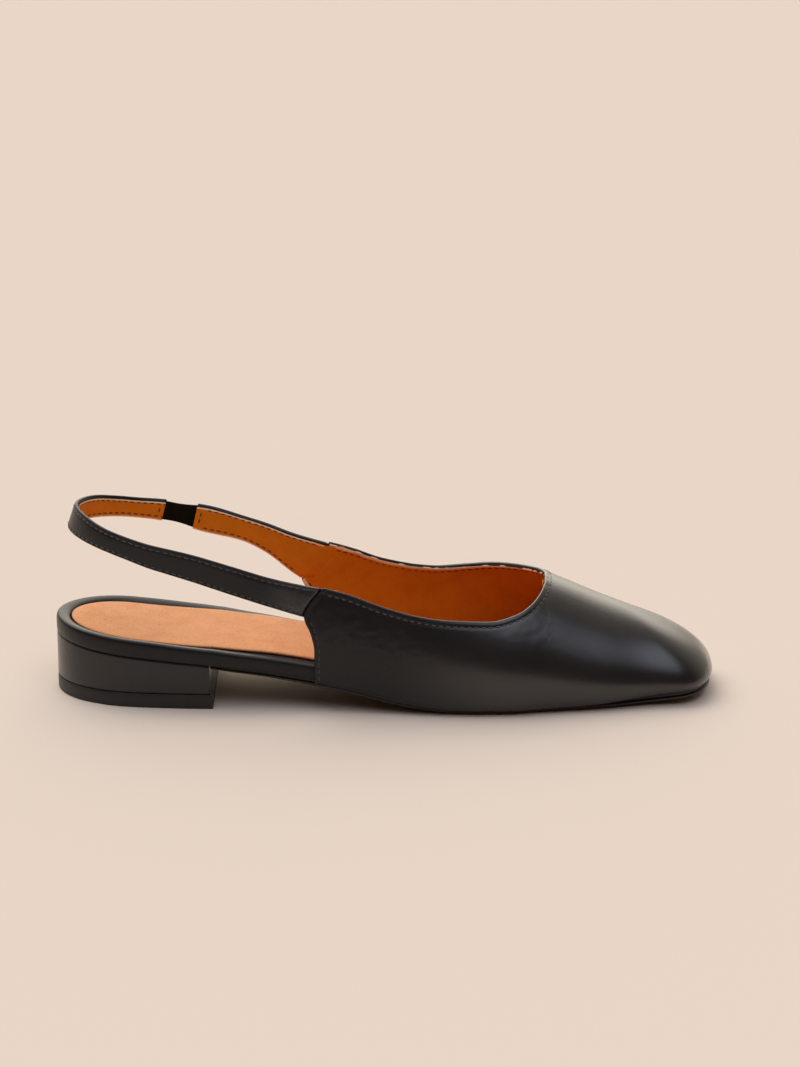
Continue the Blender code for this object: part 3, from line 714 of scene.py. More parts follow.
class Wire:
    """A number on its way through a material, so that sums are written as sums."""

    def __init__(self, recipe, socket):
        self.recipe = recipe
        self.socket = socket

    def maths(self, operation, *terms):
        return self.recipe.add("ShaderNodeMath", {"operation": operation}, dict(enumerate(terms)))

    def __add__(self, other):
        return self.maths("ADD", self, other)

    __radd__ = __add__

    def __sub__(self, other):
        return self.maths("SUBTRACT", self, other)

    def __rsub__(self, other):
        return self.maths("SUBTRACT", other, self)

    def __mul__(self, other):
        return self.maths("MULTIPLY", self, other)

    __rmul__ = __mul__

    def sine(self):
        return self.maths("SINE", self)

    def band(self, low, high):
        """0 below low, 1 above high, smooth between."""
        settings = {"interpolation_type": "SMOOTHSTEP"}
        return self.recipe.add("ShaderNodeMapRange", settings, {0: self, 1: low, 2: high})


class Recipe:
    """The nodes of a material, or of the light round the shoe."""

    def __init__(self, owner, coordinates="Object"):
        owner.use_nodes = True
        self.owner = owner
        self.tree = owner.node_tree
        place = self.tree.nodes.new("ShaderNodeTexCoord")
        self.place = Wire(self, place.outputs[coordinates])

    def add(self, kind, settings=None, inputs=None, output=0):
        """Any node: its settings are set first, then its sockets' values or links."""
        node = self.tree.nodes.new(kind)
        for key, value in (settings or {}).items():
            setattr(node, key, value)
        for key, value in (inputs or {}).items():
            self.feed(node.inputs[key], value)
        return Wire(self, node.outputs[output])

    def feed(self, socket, value):
        if isinstance(value, Wire):
            self.tree.links.new(value.socket, socket)
        elif socket.type == "RGBA" and len(value) == 3:
            socket.default_value = (*value, 1)
        else:
            socket.default_value = value

    def noise(self, size, detail=2.0, rough=0.5, place=None, distortion=0.0):
        """Soft noise whose lumps are about this size in metres."""
        inputs = {
            "Vector": place or self.place,
            "Scale": 1 / size,
            "Detail": detail,
            "Roughness": rough,
            "Distortion": distortion,
        }
        return self.add("ShaderNodeTexNoise", None, inputs)

    def cells(self, size):
        """Distance to the nearest of many points that lie about this far apart."""
        inputs = {"Vector": self.place, "Scale": 1 / size}
        return self.add("ShaderNodeTexVoronoi", {"feature": "F1"}, inputs)

    def mix(self, factor, first, second):
        """Mix two colours."""
        settings = {"data_type": "RGBA", "clamp_factor": True}
        return self.add("ShaderNodeMix", settings, {0: factor, 6: first, 7: second}, output=2)

    def stretched(self, scale):
        settings = {"operation": "MULTIPLY"}
        return self.add("ShaderNodeVectorMath", settings, {0: self.place, 1: scale})

    def axis(self, name):
        split = self.tree.nodes.new("ShaderNodeSeparateXYZ")
        self.tree.links.new(self.place.socket, split.inputs[0])
        return Wire(self, split.outputs[name])

    def bump(self, height, distance, strength=1.0, base=None):
        inputs = {"Height": height, "Distance": distance, "Strength": strength}
        if base:
            inputs["Normal"] = base
        return self.add("ShaderNodeBump", None, inputs)

    def facing(self, direction):
        """1 towards a direction, 0 square to it."""
        settings = {"operation": "DOT_PRODUCT"}
        inputs = {0: self.place, 1: tuple(Vector(direction).normalized())}
        return self.add("ShaderNodeVectorMath", settings, inputs, output=1)

    def surface(self, **sockets):
        shader = self.tree.nodes["Principled BSDF"]
        for key, value in sockets.items():
            name = key.replace("_", " ").title().replace("Ior", "IOR")
            self.feed(shader.inputs[name], value)


def calf_leather(name, colour, finish, glaze=0.2, crinkle=None, polish=None):
    """Smooth dyed calf: fine pores and a soft wax gloss, crinkled at the seam, polished ahead."""
    recipe = Recipe(bpy.data.materials.new(name))
    pores = recipe.cells(0.55 * MM)
    fine = recipe.noise(0.30 * MM, 3, 0.6)
    creases = recipe.noise(3.2 * MM, 4, 0.62, recipe.stretched((1.0, 1.0, 0.55)), 0.5)
    broad = recipe.noise(26 * MM, 2, 0.5)
    lift = 0.5 * pores + 0.35 * fine
    grain = recipe.bump(lift, 0.045 * MM * finish.grain, 0.55)
    relief = recipe.bump(creases, 0.22 * MM * finish.grain, 0.35, grain)
    if crinkle:
        rise, full, fade, end, depth = crinkle
        x, y = recipe.axis("X"), recipe.axis("Y")
        outer = 1 - y.band(-14 * MM, -8 * MM)
        mask = x.band(rise, full) * (1 - x.band(fade, end)) * outer
        folds = recipe.noise(2.1 * MM, 3, 0.6, recipe.stretched((0.7, 1.0, 1.1)), 1.1)
        relief = recipe.bump(folds * mask, depth, 0.9, relief)
    warm = tuple(c * f for c, f in zip(colour, (1.55, 1.35, 1.15)))
    shade = recipe.mix(broad.band(0.35, 0.7) * 0.55 + pores * 0.25, colour, warm)
    rough = finish.leather_roughness + (fine - 0.5) * 0.10 + (broad - 0.5) * 0.10
    recipe.surface(base_color=shade, roughness=rough, normal=relief)
    if polish:
        low, high, gain = polish
        glaze = recipe.axis("X").band(low, high) * gain + glaze
    recipe.surface(coat_weight=glaze, coat_roughness=0.22, specular_ior_level=0.27)
    return recipe.owner


def lining_leather(name, colour, deep, pore_strength, roughness):
    """Undyed-look lining: warm, nearly matte, with tiny dark pores."""
    recipe = Recipe(bpy.data.materials.new(name))
    mottled = recipe.noise(9 * MM, 4, 0.6)
    fibre = recipe.noise(0.5 * MM, 3, 0.65)
    pores = recipe.cells(1.1 * MM)
    holes = 1 - pores.band(0.10, 0.24)
    tone = recipe.mix(mottled.band(0.30, 0.75) * 0.6, colour, deep)
    dark = tuple(c * 0.45 for c in deep)
    tone = recipe.mix(holes * pore_strength, tone, dark)
    height = fibre * 0.5 - holes * 0.6
    relief = recipe.bump(height, 0.07 * MM, 0.6)
    rough = roughness + (mottled - 0.5) * 0.12
    recipe.surface(base_color=tone, roughness=rough, normal=relief)
    recipe.surface(specular_ior_level=0.06)
    return recipe.owner


def elastic_weave(name, colour):
    """Ribbed elastic: cords along the band, crossed by fine rows, with painted highlights on the
    cords and painted shade in the grooves.
    """
    recipe = Recipe(bpy.data.materials.new(name))
    x, z = recipe.axis("X"), recipe.axis("Z")
    slope = z + 0.19 * x
    ribs = (slope * (2 * math.pi / (0.85 * MM))).sine()
    rows = (x * (2 * math.pi / (0.42 * MM))).sine()
    height = ribs * 0.7 + rows * 0.3
    # Painted highlight and shade: the colour is lighter on the raised cords and darker in the
    # grooves between them.
    light = tuple(c * 2.4 for c in colour)
    tone = recipe.mix(height.band(-0.6, 0.9) * 0.6, colour, light)
    recipe.surface(base_color=tone, roughness=0.82, normal=recipe.bump(height, 0.10 * MM, 0.8))
    recipe.surface(specular_ior_level=0.08)
    return recipe.owner


def thread(name, colour, roughness=0.5):
    """Waxed thread with a fine twist."""
    recipe = Recipe(bpy.data.materials.new(name))
    twist = recipe.noise(0.25 * MM, 2, 0.6, recipe.stretched((1.0, 1.0, 2.2)))
    light = tuple(min(c * 1.8 + 0.004, 1) for c in colour)
    tone = recipe.mix(twist.band(0.35, 0.65), colour, light)
    relief = recipe.bump(twist, 0.05 * MM, 0.7)
    recipe.surface(base_color=tone, roughness=roughness + (twist - 0.5) * 0.2, normal=relief)
    return recipe.owner


def sole_finish(name, colour, roughness):
    """Dyed sole edge: close matte grain with faint scuffs along it."""
    recipe = Recipe(bpy.data.materials.new(name))
    layers = recipe.noise(1.0 * MM, 3, 0.6, recipe.stretched((0.15, 0.15, 2.5)))
    scuff = recipe.noise(6 * MM, 5, 0.7)
    brown = tuple(c * f for c, f in zip(colour, (2.6, 2.0, 1.7)))
    tone = recipe.mix(scuff.band(0.48, 0.72) * 0.5 + layers * 0.2, colour, brown)
    relief = recipe.bump(layers * 0.6 + scuff * 0.4, 0.08 * MM, 0.5)
    rough = roughness + (scuff - 0.5) * 0.2
    recipe.surface(base_color=tone, roughness=rough, normal=relief)
    return recipe.owner


# Settings


class ShoeFinish(bpy.types.PropertyGroup):
    """Colours and surface finish of the shoe"""

    leather: bpy.props.FloatVectorProperty(
        name="Leather", description="Outer leather's colour", subtype="COLOR", size=3,
        min=0, max=1, default=(0.0080, 0.0080, 0.0105),
    )
    lining: bpy.props.FloatVectorProperty(
        name="Lining", description="Lining leather's colour", subtype="COLOR", size=3,
        min=0, max=1, default=(0.68, 0.20, 0.010),
    )
    sock: bpy.props.FloatVectorProperty(
        name="Sock", description="Sock leather's colour", subtype="COLOR", size=3,
        min=0, max=1, default=(0.80, 0.37, 0.172),
    )
    leather_roughness: bpy.props.FloatProperty(
        name="Leather roughness", description="How dull the outer leather is",
        min=0, max=1, default=0.36, subtype="FACTOR",
    )
    grain: bpy.props.FloatProperty(
        name="Grain", description="Strength of the leather's grain", min=0, max=3, default=1.6,
    )


class ShoeSewing(bpy.types.PropertyGroup):
    """Sizes of stitches and folded edges"""

    pitch: bpy.props.FloatProperty(
        name="Stitch pitch", description="From one stitch to the next", unit="LENGTH",
        default=2.7 * MM, min=0.5 * MM,
    )
    length: bpy.props.FloatProperty(
        name="Stitch length", description="Visible length of one stitch", unit="LENGTH",
        default=1.9 * MM, min=0.2 * MM,
    )
    radius: bpy.props.FloatProperty(
        name="Thread radius", description="Half the thread's thickness", unit="LENGTH",
        default=0.26 * MM, min=0.05 * MM,
    )
    margin: bpy.props.FloatProperty(
        name="Topline margin", description="From the topline to its stitches", unit="LENGTH",
        default=2.1 * MM, min=0.5 * MM,
    )
    rear_margin: bpy.props.FloatProperty(
        name="Rear margin", description="From the rear edge to its stitches", unit="LENGTH",
        default=1.6 * MM, min=0.5 * MM,
    )
    strap_low: bpy.props.FloatProperty(
        name="Low strap margin", description="From a strap's bottom edge to its stitches",
        unit="LENGTH", default=1.15 * MM, min=0.5 * MM,
    )
    strap_high: bpy.props.FloatProperty(
        name="High strap margin", description="From a strap's top edge to its stitches",
        unit="LENGTH", default=1.55 * MM, min=0.5 * MM,
    )


class ShoeStage(bpy.types.PropertyGroup):
    """Camera, light and floor"""

    focal: bpy.props.FloatProperty(
        name="Focal length", description="Camera's focal length in millimetres", default=107.97,
    )
    turn: bpy.props.FloatProperty(
        name="Turn", description="Camera's turn round the shoe", subtype="ANGLE",
        default=math.radians(2.0),
    )
    pitch: bpy.props.FloatProperty(
        name="Pitch", description="Camera's tilt down", subtype="ANGLE",
        default=math.radians(16.325),
    )
    floor: bpy.props.FloatVectorProperty(
        name="Floor", description="Floor's colour", subtype="COLOR", size=3, min=0, max=1,
        default=(0.765, 0.652, 0.556),
    )
    light: bpy.props.FloatProperty(
        name="Light", description="Strength of the studio light", default=1.0, min=0,
    )


# Upper


def upper_grid(columns=(105, 64), rows=52):
    """Both sides of the upper's outer face, rear edge to toe and foot to top."""
    to_throat = 1 - (1 - np.linspace(0, 1, columns[0]) ** 1.2) ** 1.3
    shares = np.concatenate([to_throat, 1 + np.linspace(0, 1, columns[1])[1:]])
    levels = 1 - (1 - np.linspace(0, 1, rows)) ** 1.35
    return upper_side(LATERAL, shares, levels), upper_side(MEDIAL, shares, levels)


def side_normals(side, grid):
    """Outward normals of one side's grid."""
    return face_normals(grid) * (1 if side == LATERAL else -1)


def edge_lines():
    """The topline and the two rear edges, each with the surface's normals."""
    lateral, medial = upper_grid((180, 3), 90)
    ends = 180
    lines = {}
    near, far = lateral[:ends], medial[:ends]
    near_normals, far_normals = side_normals(LATERAL, near), side_normals(MEDIAL, far)
    top = np.concatenate([near[:, -1], far[-2::-1, -1]])
    top_normals = np.concatenate([near_normals[:, -1], far_normals[-2::-1, -1]])
    steady = top_normals.copy()
    first, last = ends - 13, ends + 11  # round the throat, where the two sides' normals differ
    for i in range(first, last + 1):
        share = (i - first) / (last - first)
        steady[i] = (1 - share) * top_normals[first] + share * top_normals[last]
    lines["topline"] = (top, unit(steady))
    lines["rear", LATERAL] = (near[0], near_normals[0])
    lines["rear", MEDIAL] = (far[0], far_normals[0])
    return lines


def split_rear(side, line):
    """The rear edge under the strap, and the part that the strap goes under."""
    points, normals = line
    free = points[:, 2] < REAR_EDGES[side][-2][0] * TOPLINE_AT_SEAM
    joined = np.roll(~free, -1) | ~free
    joined[-1] = True
    return (points[free], normals[free]), (points[joined], normals[joined])


def waver(points, length, *seed):
    """Smooth noise along a line of points, whose waves are about this long."""
    return np.array([noise.noise(Vector((run / length, *seed))) for run in measured(points)])


def offset_line(points, normals, across):
    """Move a line sideways over the surface that it lies on."""
    along = unit(np.gradient(points, axis=0))
    return points + unit(np.cross(along, normals)) * np.reshape(across, (-1, 1))


def wavy_line(points, normals):
    """A line whose edge wavers like cut leather."""
    waves = waver(points, RAW_WAVE_LENGTH, 7.1, 3.3)
    return offset_line(points, normals, waves * RAW_WAVE_HEIGHT), normals


def search_tree(points):
    """The points, ready to be asked for the nearest."""
    tree = kdtree.KDTree(len(points))
    for i, point in enumerate(points):
        tree.insert(point, i)
    tree.balance()
    return tree


def wrinkle(point):
    """Soft troughs and ridges of the worked leather at a point, in metres."""
    x, y, z = point
    side = smooth((-y - 14 * MM) / (12 * MM))
    below = smooth((z - 12 * MM) / (14 * MM))
    seam = math.exp(-(((x - 122 * MM) / (20 * MM)) ** 2)) * side * below
    throat = math.exp(-(((x - 183 * MM) / (11 * MM)) ** 2)) * smooth((-y + 4 * MM) / (12 * MM))
    throat *= smooth((z - 22 * MM) / (10 * MM))
    flow = noise.noise(Vector((x * 260 + z * 120, y * 90, z * 420 - x * 60)))
    small = noise.noise(Vector((x * 620, y * 300, z * 760)))
    broad = noise.noise(Vector((x * 42, y * 42, z * 42)))
    return (0.10 * seam * flow + 0.08 * throat * flow + 0.04 * seam * small + 0.12 * broad) * MM


class SHOE_OT_upper(bpy.types.Operator):
    """Upper: leather shell with its lining and folded edges"""

    bl_idname = "shoe.upper"
    bl_label = "Upper"

    def execute(self, context):
        finish, sewing = context.scene.shoe_finish, context.scene.shoe_sewing
        station = (SEAM_STATION - ORIGIN[0]) + np.array([-8, 2, 22, 40]) * MM
        crinkle = (*(float(x) for x in station), 0.03 * MM)
        polish = (0, 50 * MM, 0.85)
        leather = calf_leather("upper_calf", tuple(finish.leather), finish, 0.15, crinkle, polish)
        lining = lining_leather(
            "lining_leather", tuple(finish.lining), (0.56, 0.125, 0.004), 0.25, 0.62
        )
        raw = lining_leather("raw_lining_edge", *RAW_TONES, 0.0, 0.8)
        lines = edge_lines()
        lateral, medial = upper_grid()
        mesh = bmesh.new()
        grid = np.concatenate([lateral, medial[-2::-1]])
        verts = add_grid(mesh, grid)
        margins = {"topline": sewing.margin}
        margins.update({("rear", side): sewing.rear_margin for side in (LATERAL, MEDIAL)})
        trees = {key: search_tree(line[0]) for key, line in lines.items()}
        mesh.normal_update()
        mesh.faces.ensure_lookup_table()
        first = mesh.faces[0]
        turn = 1 if first.calc_center_median().y * first.normal.y > 0 else -1
        shifts = {}
        for line in verts:
            foot = line[0].co.copy()
            for vert in line:
                shift = wrinkle(vert.co)
                for key, margin in margins.items():
                    away = trees[key].find(vert.co)[2]
                    groove = math.exp(-(((away - margin) / GROOVE_WIDTH) ** 2))
                    puff = math.exp(-(((away - 0.45 * margin) / PUFF_WIDTH) ** 2))
                    shift += PUFF_HEIGHT * puff - GROOVE_DEPTH * groove
                turned = max(1 - (vert.co - foot).length / FOOT_TURN_REACH, 0)
                shifts[vert] = shift - FOOT_TURN_DEPTH * turned**2
        for vert, shift in shifts.items():
            vert.co += vert.normal * turn * shift
        if turn < 0:
            bmesh.ops.reverse_faces(mesh, faces=mesh.faces)
        bmesh.ops.remove_doubles(mesh, verts=mesh.verts, dist=MERGE_DISTANCE)
        shell = put("upper_leather", mesh, [leather, lining, leather], "upper", "upper_leather")
        wall = shell.modifiers.new("wall", "SOLIDIFY")
        wall.thickness = UPPER_WALL
        wall.offset = -1
        wall.material_offset = 1
        wall.material_offset_rim = 2

        folds, raws = bmesh.new(), bmesh.new()
        for key, flip in (("topline", -1), (("rear", LATERAL), -1), (("rear", MEDIAL), 1)):
            line = lines[key]
            if key != "topline":
                line, joined = split_rear(key[1], line)
                sweep(folds, *respaced(*joined, 0.5 * MM), EDGE_BEAD, flip)
            line = respaced(*line, 0.8 * MM)
            sweep(folds, *line, EDGE_FOLD, flip)
            sweep(raws, *wavy_line(*line), RAW_EDGE, flip)
        put_closed("upper_folded_edges", folds, [leather], None, "upper_leather")
        put_closed("upper_raw_lining_edges", raws, [raw], None, "upper_leather")
        return {"FINISHED"}


# Straps


def outward_normals(face):
    """Normals of a strap's face that look away from the foot."""
    outward = face_normals(face)
    middle = face.shape[1] // 2
    return outward * np.sign(np.mean(outward[:, middle, 1] * face[:, middle, 1]))


def across_strap(face, shares):
    """Points and normals of a strap's face at a share of its width on each of its lines."""
    count = face.shape[1]
    place = np.clip(shares, 0, 1) * (count - 1)
    low = np.minimum(place.astype(int), count - 2)
    part = (place - low)[:, None]
    lines = np.arange(len(face))
    outward = outward_normals(face)
    points = face[lines, low] * (1 - part) + face[lines, low + 1] * part
    return points, unit(outward[lines, low] * (1 - part) + outward[lines, low + 1] * part)


def leather_loop(sewing):
    """Round a strap's section: end that is measured from, distance, depth and material."""
    depth = STRAP_THICKNESS / MM
    loop = []
    for end, margin in ((-1, sewing.strap_low), (1, sewing.strap_high)):
        edge = [(end, away, down, 0) for away, down in STRAP_ROUND]
        edge += [(end, margin / MM + away, down, 0) for away, down in STITCH_GROOVE]
        if end == -1:
            loop += edge
            loop += [(0, share, -0.09, 0) for share in (0.3, 0.5, 0.7)]
        else:
            loop += edge[::-1]
    return loop + [(end, away, depth + down, slot) for end, away, down, slot in STRAP_INSIDE]


def strap_mesh(mesh, face, thickness, loop, dips=0.0):
    """A strap carried along its outer face; dips press its outer side in where it tucks under."""
    width = np.linalg.norm(face[:, -1] - face[:, 0], axis=-1)
    waves = waver(face[:, face.shape[1] // 2], STRAP_WAVE_LENGTH, 2.7, 5.9)
    rings, materials = [], []
    for end, away, down, material in loop:
        wavy = end != 0 and down * MM >= thickness
        distance = away * MM + STRAP_WAVE_HEIGHT * waves * wavy
        share = distance / width if end else np.full(len(face), away)
        points, normals = across_strap(face, 1 - share if end == 1 else share)
        depth = dips + down * MM * (1 - dips / thickness)
        rings.append(points - normals * np.reshape(depth * np.ones(len(face)), (-1, 1)))
        materials.append(material)
    add_grid(mesh, np.stack(rings, axis=1), closed=True, row_materials=materials, caps=True)


def strap_faces():
    """Outer faces of the strap, its tab and the elastic link, and how deep the first two dip."""
    ups = np.linspace(0, 1, 9)
    round_end = STRAP_BACK_STATION + STRAP_ROUND_LENGTH
    turn = np.linspace(0, math.pi / 2, 40)
    backs = round_end - STRAP_ROUND_LENGTH * np.cos(turn) ** (2 / STRAP_SQUARENESS)
    ahead, ahead_dips = tucked_face(LATERAL, round_end, ups)
    x, up = np.meshgrid(backs[-2::-1], ups, indexing="ij")
    near = strap_point(LATERAL, x, up)
    x, up = np.meshgrid(backs[1:], ups, indexing="ij")
    slant = END_SLANT * smooth((x - backs[9]) / (ELASTIC_START - backs[9]))
    far = strap_point(MEDIAL, np.minimum(x, ELASTIC_START - GAP) + (up - 0.5) * slant, up)
    sling = np.concatenate([ahead[::-1], near, far])
    dips = np.concatenate([ahead_dips[::-1], np.zeros(len(near) + len(far))])
    elastic_end = ELASTIC_START + ELASTIC_LENGTH
    tab, tab_dips = tucked_face(MEDIAL, elastic_end, ups, END_SLANT)
    shares = np.linspace(-0.12, 1.12, 24)
    narrow = ELASTIC_NARROWING_SHARE * (1 + 0.6 * np.sin(math.pi * np.clip(shares, 0, 1)))
    share, up = np.meshgrid(shares, ups, indexing="ij")
    level = narrow[:, None] + (1 - 2 * narrow[:, None]) * up
    x = ELASTIC_START + share * (ELASTIC_LENGTH - GAP) + (level - 0.5) * END_SLANT
    link = strap_point(MEDIAL, x, level, (STRAP_THICKNESS - ELASTIC_THICKNESS) / 2)
    return (sling, dips), (tab, tab_dips), link


def strap_line(face, across):
    """A line along a strap at a distance from its bottom edge, or from its top if negative."""
    width = np.linalg.norm(face[:, -1] - face[:, 0], axis=-1)
    return across_strap(face, across / width if across >= 0 else 1 + across / width)


def turned_in(points, normals):
    """A line on a strap's outer face, moved through to its lining."""
    return points - normals * (STRAP_THICKNESS + LINING_RISE), -normals


def end_line(face, away, margins):
    """A line across a strap at a distance from the end that the elastic is sewn in."""
    along = measured(face[:, face.shape[1] // 2])
    line = np.argmin(np.abs(along - (away if away >= 0 else along[-1] + away)))
    outward = outward_normals(face)[line]
    run = measured(face[line])
    at = np.linspace(margins[0], run[-1] - margins[1], 12)
    points = np.stack([np.interp(at, run, face[line, :, k]) for k in range(3)], -1)
    normals = unit(np.stack([np.interp(at, run, outward[:, k]) for k in range(3)], -1))
    return points, normals


def lining_bridge(side, start, slant):
    """The lining's inner face where it runs on from a strap into the quarter."""
    ups = np.linspace(0.04, 0.95, 9)
    face = seamed_face(side, start, np.linspace(0.88, 1, 8), ups, slant)
    steps = np.linspace(1.2, 7.0, 5) * MM
    under = np.stack([seam_points(side, ups, ahead) for ahead in steps])
    grid = np.concatenate([face, under])
    lift = np.interp(np.linspace(0, 1, len(grid)), (0, 0.25, 0.75, 1), (-0.15, 0.14, 0.14, -0.25))
    return grid - outward_normals(grid) * (UPPER_WALL + LINING_RISE + lift[:, None, None] * MM)


class SHOE_OT_straps(bpy.types.Operator):
    """Straps: the sling, its tab and the elastic link"""

    bl_idname = "shoe.straps"
    bl_label = "Straps"

    def execute(self, context):
        finish, sewing = context.scene.shoe_finish, context.scene.shoe_sewing
        station = (SEAM_STATION - ORIGIN[0]) + np.array([-26, -10, 4, 6]) * MM
        crinkle = (*(float(x) for x in station), 1.6 * MM)
        polish = (crinkle[0], crinkle[1], 0.9)
        leather = calf_leather("strap_calf", tuple(finish.leather), finish, 0.1, crinkle, polish)
        lining = lining_leather(
            "strap_lining", tuple(finish.lining), (0.56, 0.15, 0.008), 0.25, 0.6
        )
        raw = lining_leather("strap_raw_edge", *RAW_TONES, 0.0, 0.8)
        sling, tab, link = strap_faces()
        loop = leather_loop(sewing)
        for name, (face, dips), node in (
            ("sling_strap", sling, "strap"),
            ("sling_tab", tab, "strap_tab"),
        ):
            mesh = bmesh.new()
            strap_mesh(mesh, face, STRAP_THICKNESS, loop, dips)
            put_closed(name, mesh, [leather, lining, raw], node, "strap_leather")
        mesh = bmesh.new()
        loop = [(-1, away, down, 0) for away, down in ELASTIC_ROUND]
        loop += [(0, share, 0.0, 0) for share in (0.25, 0.5, 0.75)]
        loop += [(1, away, down, 0) for away, down in ELASTIC_ROUND[::-1]]
        loop += [(0, share, ELASTIC_THICKNESS / MM, 0) for share in (0.75, 0.5, 0.25)]
        strap_mesh(mesh, link, ELASTIC_THICKNESS, loop)
        weave = elastic_weave("elastic_weave", (0.0050, 0.0038, 0.0022))
        put_closed("elastic_link", mesh, [weave], "strap_elastic", "elastic")
        mesh = bmesh.new()
        round_end = STRAP_BACK_STATION + STRAP_ROUND_LENGTH
        elastic_end = ELASTIC_START + ELASTIC_LENGTH
        add_grid(mesh, lining_bridge(LATERAL, round_end, 0.0))
        add_grid(mesh, lining_bridge(MEDIAL, elastic_end, END_SLANT))
        bridge = put("lining_bridges", mesh, [lining], None, "strap_leather")
        sheet = bridge.modifiers.new("sheet", "SOLIDIFY")
        sheet.thickness = 0.1 * MM
        sheet.offset = 0
        return {"FINISHED"}


# Footbed and sock


def board_shares(x):
    """What is kept of the footbed's thickness and rim, its inset, what is kept of its recess."""
    share = x / FOOTBED_LENGTH
    return BOARD_KEPT(share), FOREPART_INSET * BOARD_CUT(share), BOARD_RECESS(share)


class SHOE_OT_footbed(bpy.types.Operator):
    """Footbed: wrapped board with its rolled rim, and the sock in it"""

    bl_idname = "shoe.footbed"
    bl_label = "Footbed and sock"

    def execute(self, context):
        finish = context.scene.shoe_finish
        leather = calf_leather("rim_calf", tuple(finish.leather), finish, 0.05)
        sock = lining_leather("sock_leather", tuple(finish.sock), (0.68, 0.29, 0.12), 0.85, 0.6)
        x = station_list(0, FOOTBED_LENGTH, 170)
        levels = np.linspace(0, 1, 19)
        profile = (*RIM_PROFILE, (1, 0, 1))
        table = [(i / (len(profile) - 1), *row) for i, row in enumerate(profile)]
        across, rounding, sinking = (Curve(table, column) for column in (1, 2, 3))

        def ring(inset, rise):
            def at(station):
                kept, cut, _ = board_shares(station)
                return cut + inset, base_height(station) + rise * kept
            return at

        def rim_ring(t):
            def at(station):
                kept, cut, recess = board_shares(station)
                drop = rounding(t) * RIM_ROUND + sinking(t) * recess * SOCK_RECESS
                height = base_height(station) + (FOOTBED_THICKNESS - drop) * kept
                return cut + across(t) * RIM_WIDTH * kept, height
            return at

        rings = [ring(inset * MM, rise * MM) for inset, rise in FOOTBED_FOOT]
        rings += [rim_ring(t) for t in levels]
        mesh = bmesh.new()
        board(mesh, x, rings)
        put("footbed_rim", mesh, [leather], "footbed", "rim_leather")

        def sock_ring(inset, rise):
            def at(station):
                kept, cut, recess = board_shares(station)
                floor = base_height(station) + (FOOTBED_THICKNESS - recess * SOCK_RECESS) * kept
                return cut + RIM_WIDTH * kept + GAP + inset, floor + GAP + rise
            return at

        rings = [sock_ring(0, 0)]
        rings += [sock_ring(inset * MM, SOCK_THICKNESS - drop * MM) for inset, drop in SOCK_EDGE]
        mesh = bmesh.new()
        board(mesh, x, rings)
        put("sock", mesh, [sock], "insole_sock", "sock_leather")
        return {"FINISHED"}


class SHOE_OT_heel(bpy.types.Operator):
    """Heel: covered block and top piece"""

    bl_idname = "shoe.heel"
    bl_label = "Heel"

    def execute(self, context):
        finish = context.scene.shoe_finish
        leather = calf_leather("heel_calf", tuple(finish.leather), finish, 0.5)
        rubber = sole_finish("top_piece_rubber", (0.012, 0.011, 0.011), 0.48)
        x = station_list(0, HEEL_LENGTH, 70)
        foot = TOP_PIECE_THICKNESS + 0.15 * MM

        def block(inset, rise, high):
            def at(station):
                level = base_height(station) - 0.12 * MM if high else foot
                return HEEL_INSET + inset, level + rise
            return at

        rings = [block(inset * MM, rise * MM, False) for inset, rise in BLOCK_FOOT]
        rings += [block(inset * MM, -drop * MM, True) for inset, drop in BLOCK_TOP]
        mesh = bmesh.new()
        board(mesh, x, rings, close_end=True, skewed=True)
        put("heel_cover", mesh, [leather], "heel_block", "heel_leather", 40)

        def lift(inset, height):
            return lambda station: (HEEL_INSET + inset, height)

        rings = [lift(inset * MM, height * MM) for inset, height in TOP_PIECE_EDGE]
        rings += [lift(0, TOP_PIECE_THICKNESS - 0.4 * MM), lift(0.2 * MM, TOP_PIECE_THICKNESS)]
        mesh = bmesh.new()
        x *= TOP_PIECE_LENGTH / HEEL_LENGTH
        board(mesh, x, rings, close_end=True, skewed=True)
        put("top_piece", mesh, [rubber], "heel_top_piece", "top_piece", 40)
        return {"FINISHED"}


class SHOE_OT_sole(bpy.types.Operator):
    """Outsole, from the heel's breast to the toe"""

    bl_idname = "shoe.sole"
    bl_label = "Outsole"

    def execute(self, context):
        finish = sole_finish("sole_edge", (0.010, 0.009, 0.009), 0.42)
        start = HEEL_LENGTH + GAP
        full = station_list(0, FOOTBED_LENGTH, 200)
        x = np.concatenate([[start], full[full > start + 0.8 * MM]])

        def ring(inset, rise, level):
            def at(station):
                share = station / FOOTBED_LENGTH
                depth = OUTSOLE_THICKNESS * SOLE_THIN_CURVE(share) * (1 - level)
                height = base_height(station) - depth - 0.15 * MM * level + rise
                return inset - SOLE_MARGIN * SOLE_EDGE_CURVE(share), height
            return at

        rings = [ring(inset * MM, rise * MM, level) for inset, rise, level in SOLE_EDGE]
        mesh = bmesh.new()
        board(mesh, x, rings, close_start=True, skewed=True)
        put("outsole_board", mesh, [finish], "outsole", "sole", 40)
        return {"FINISHED"}


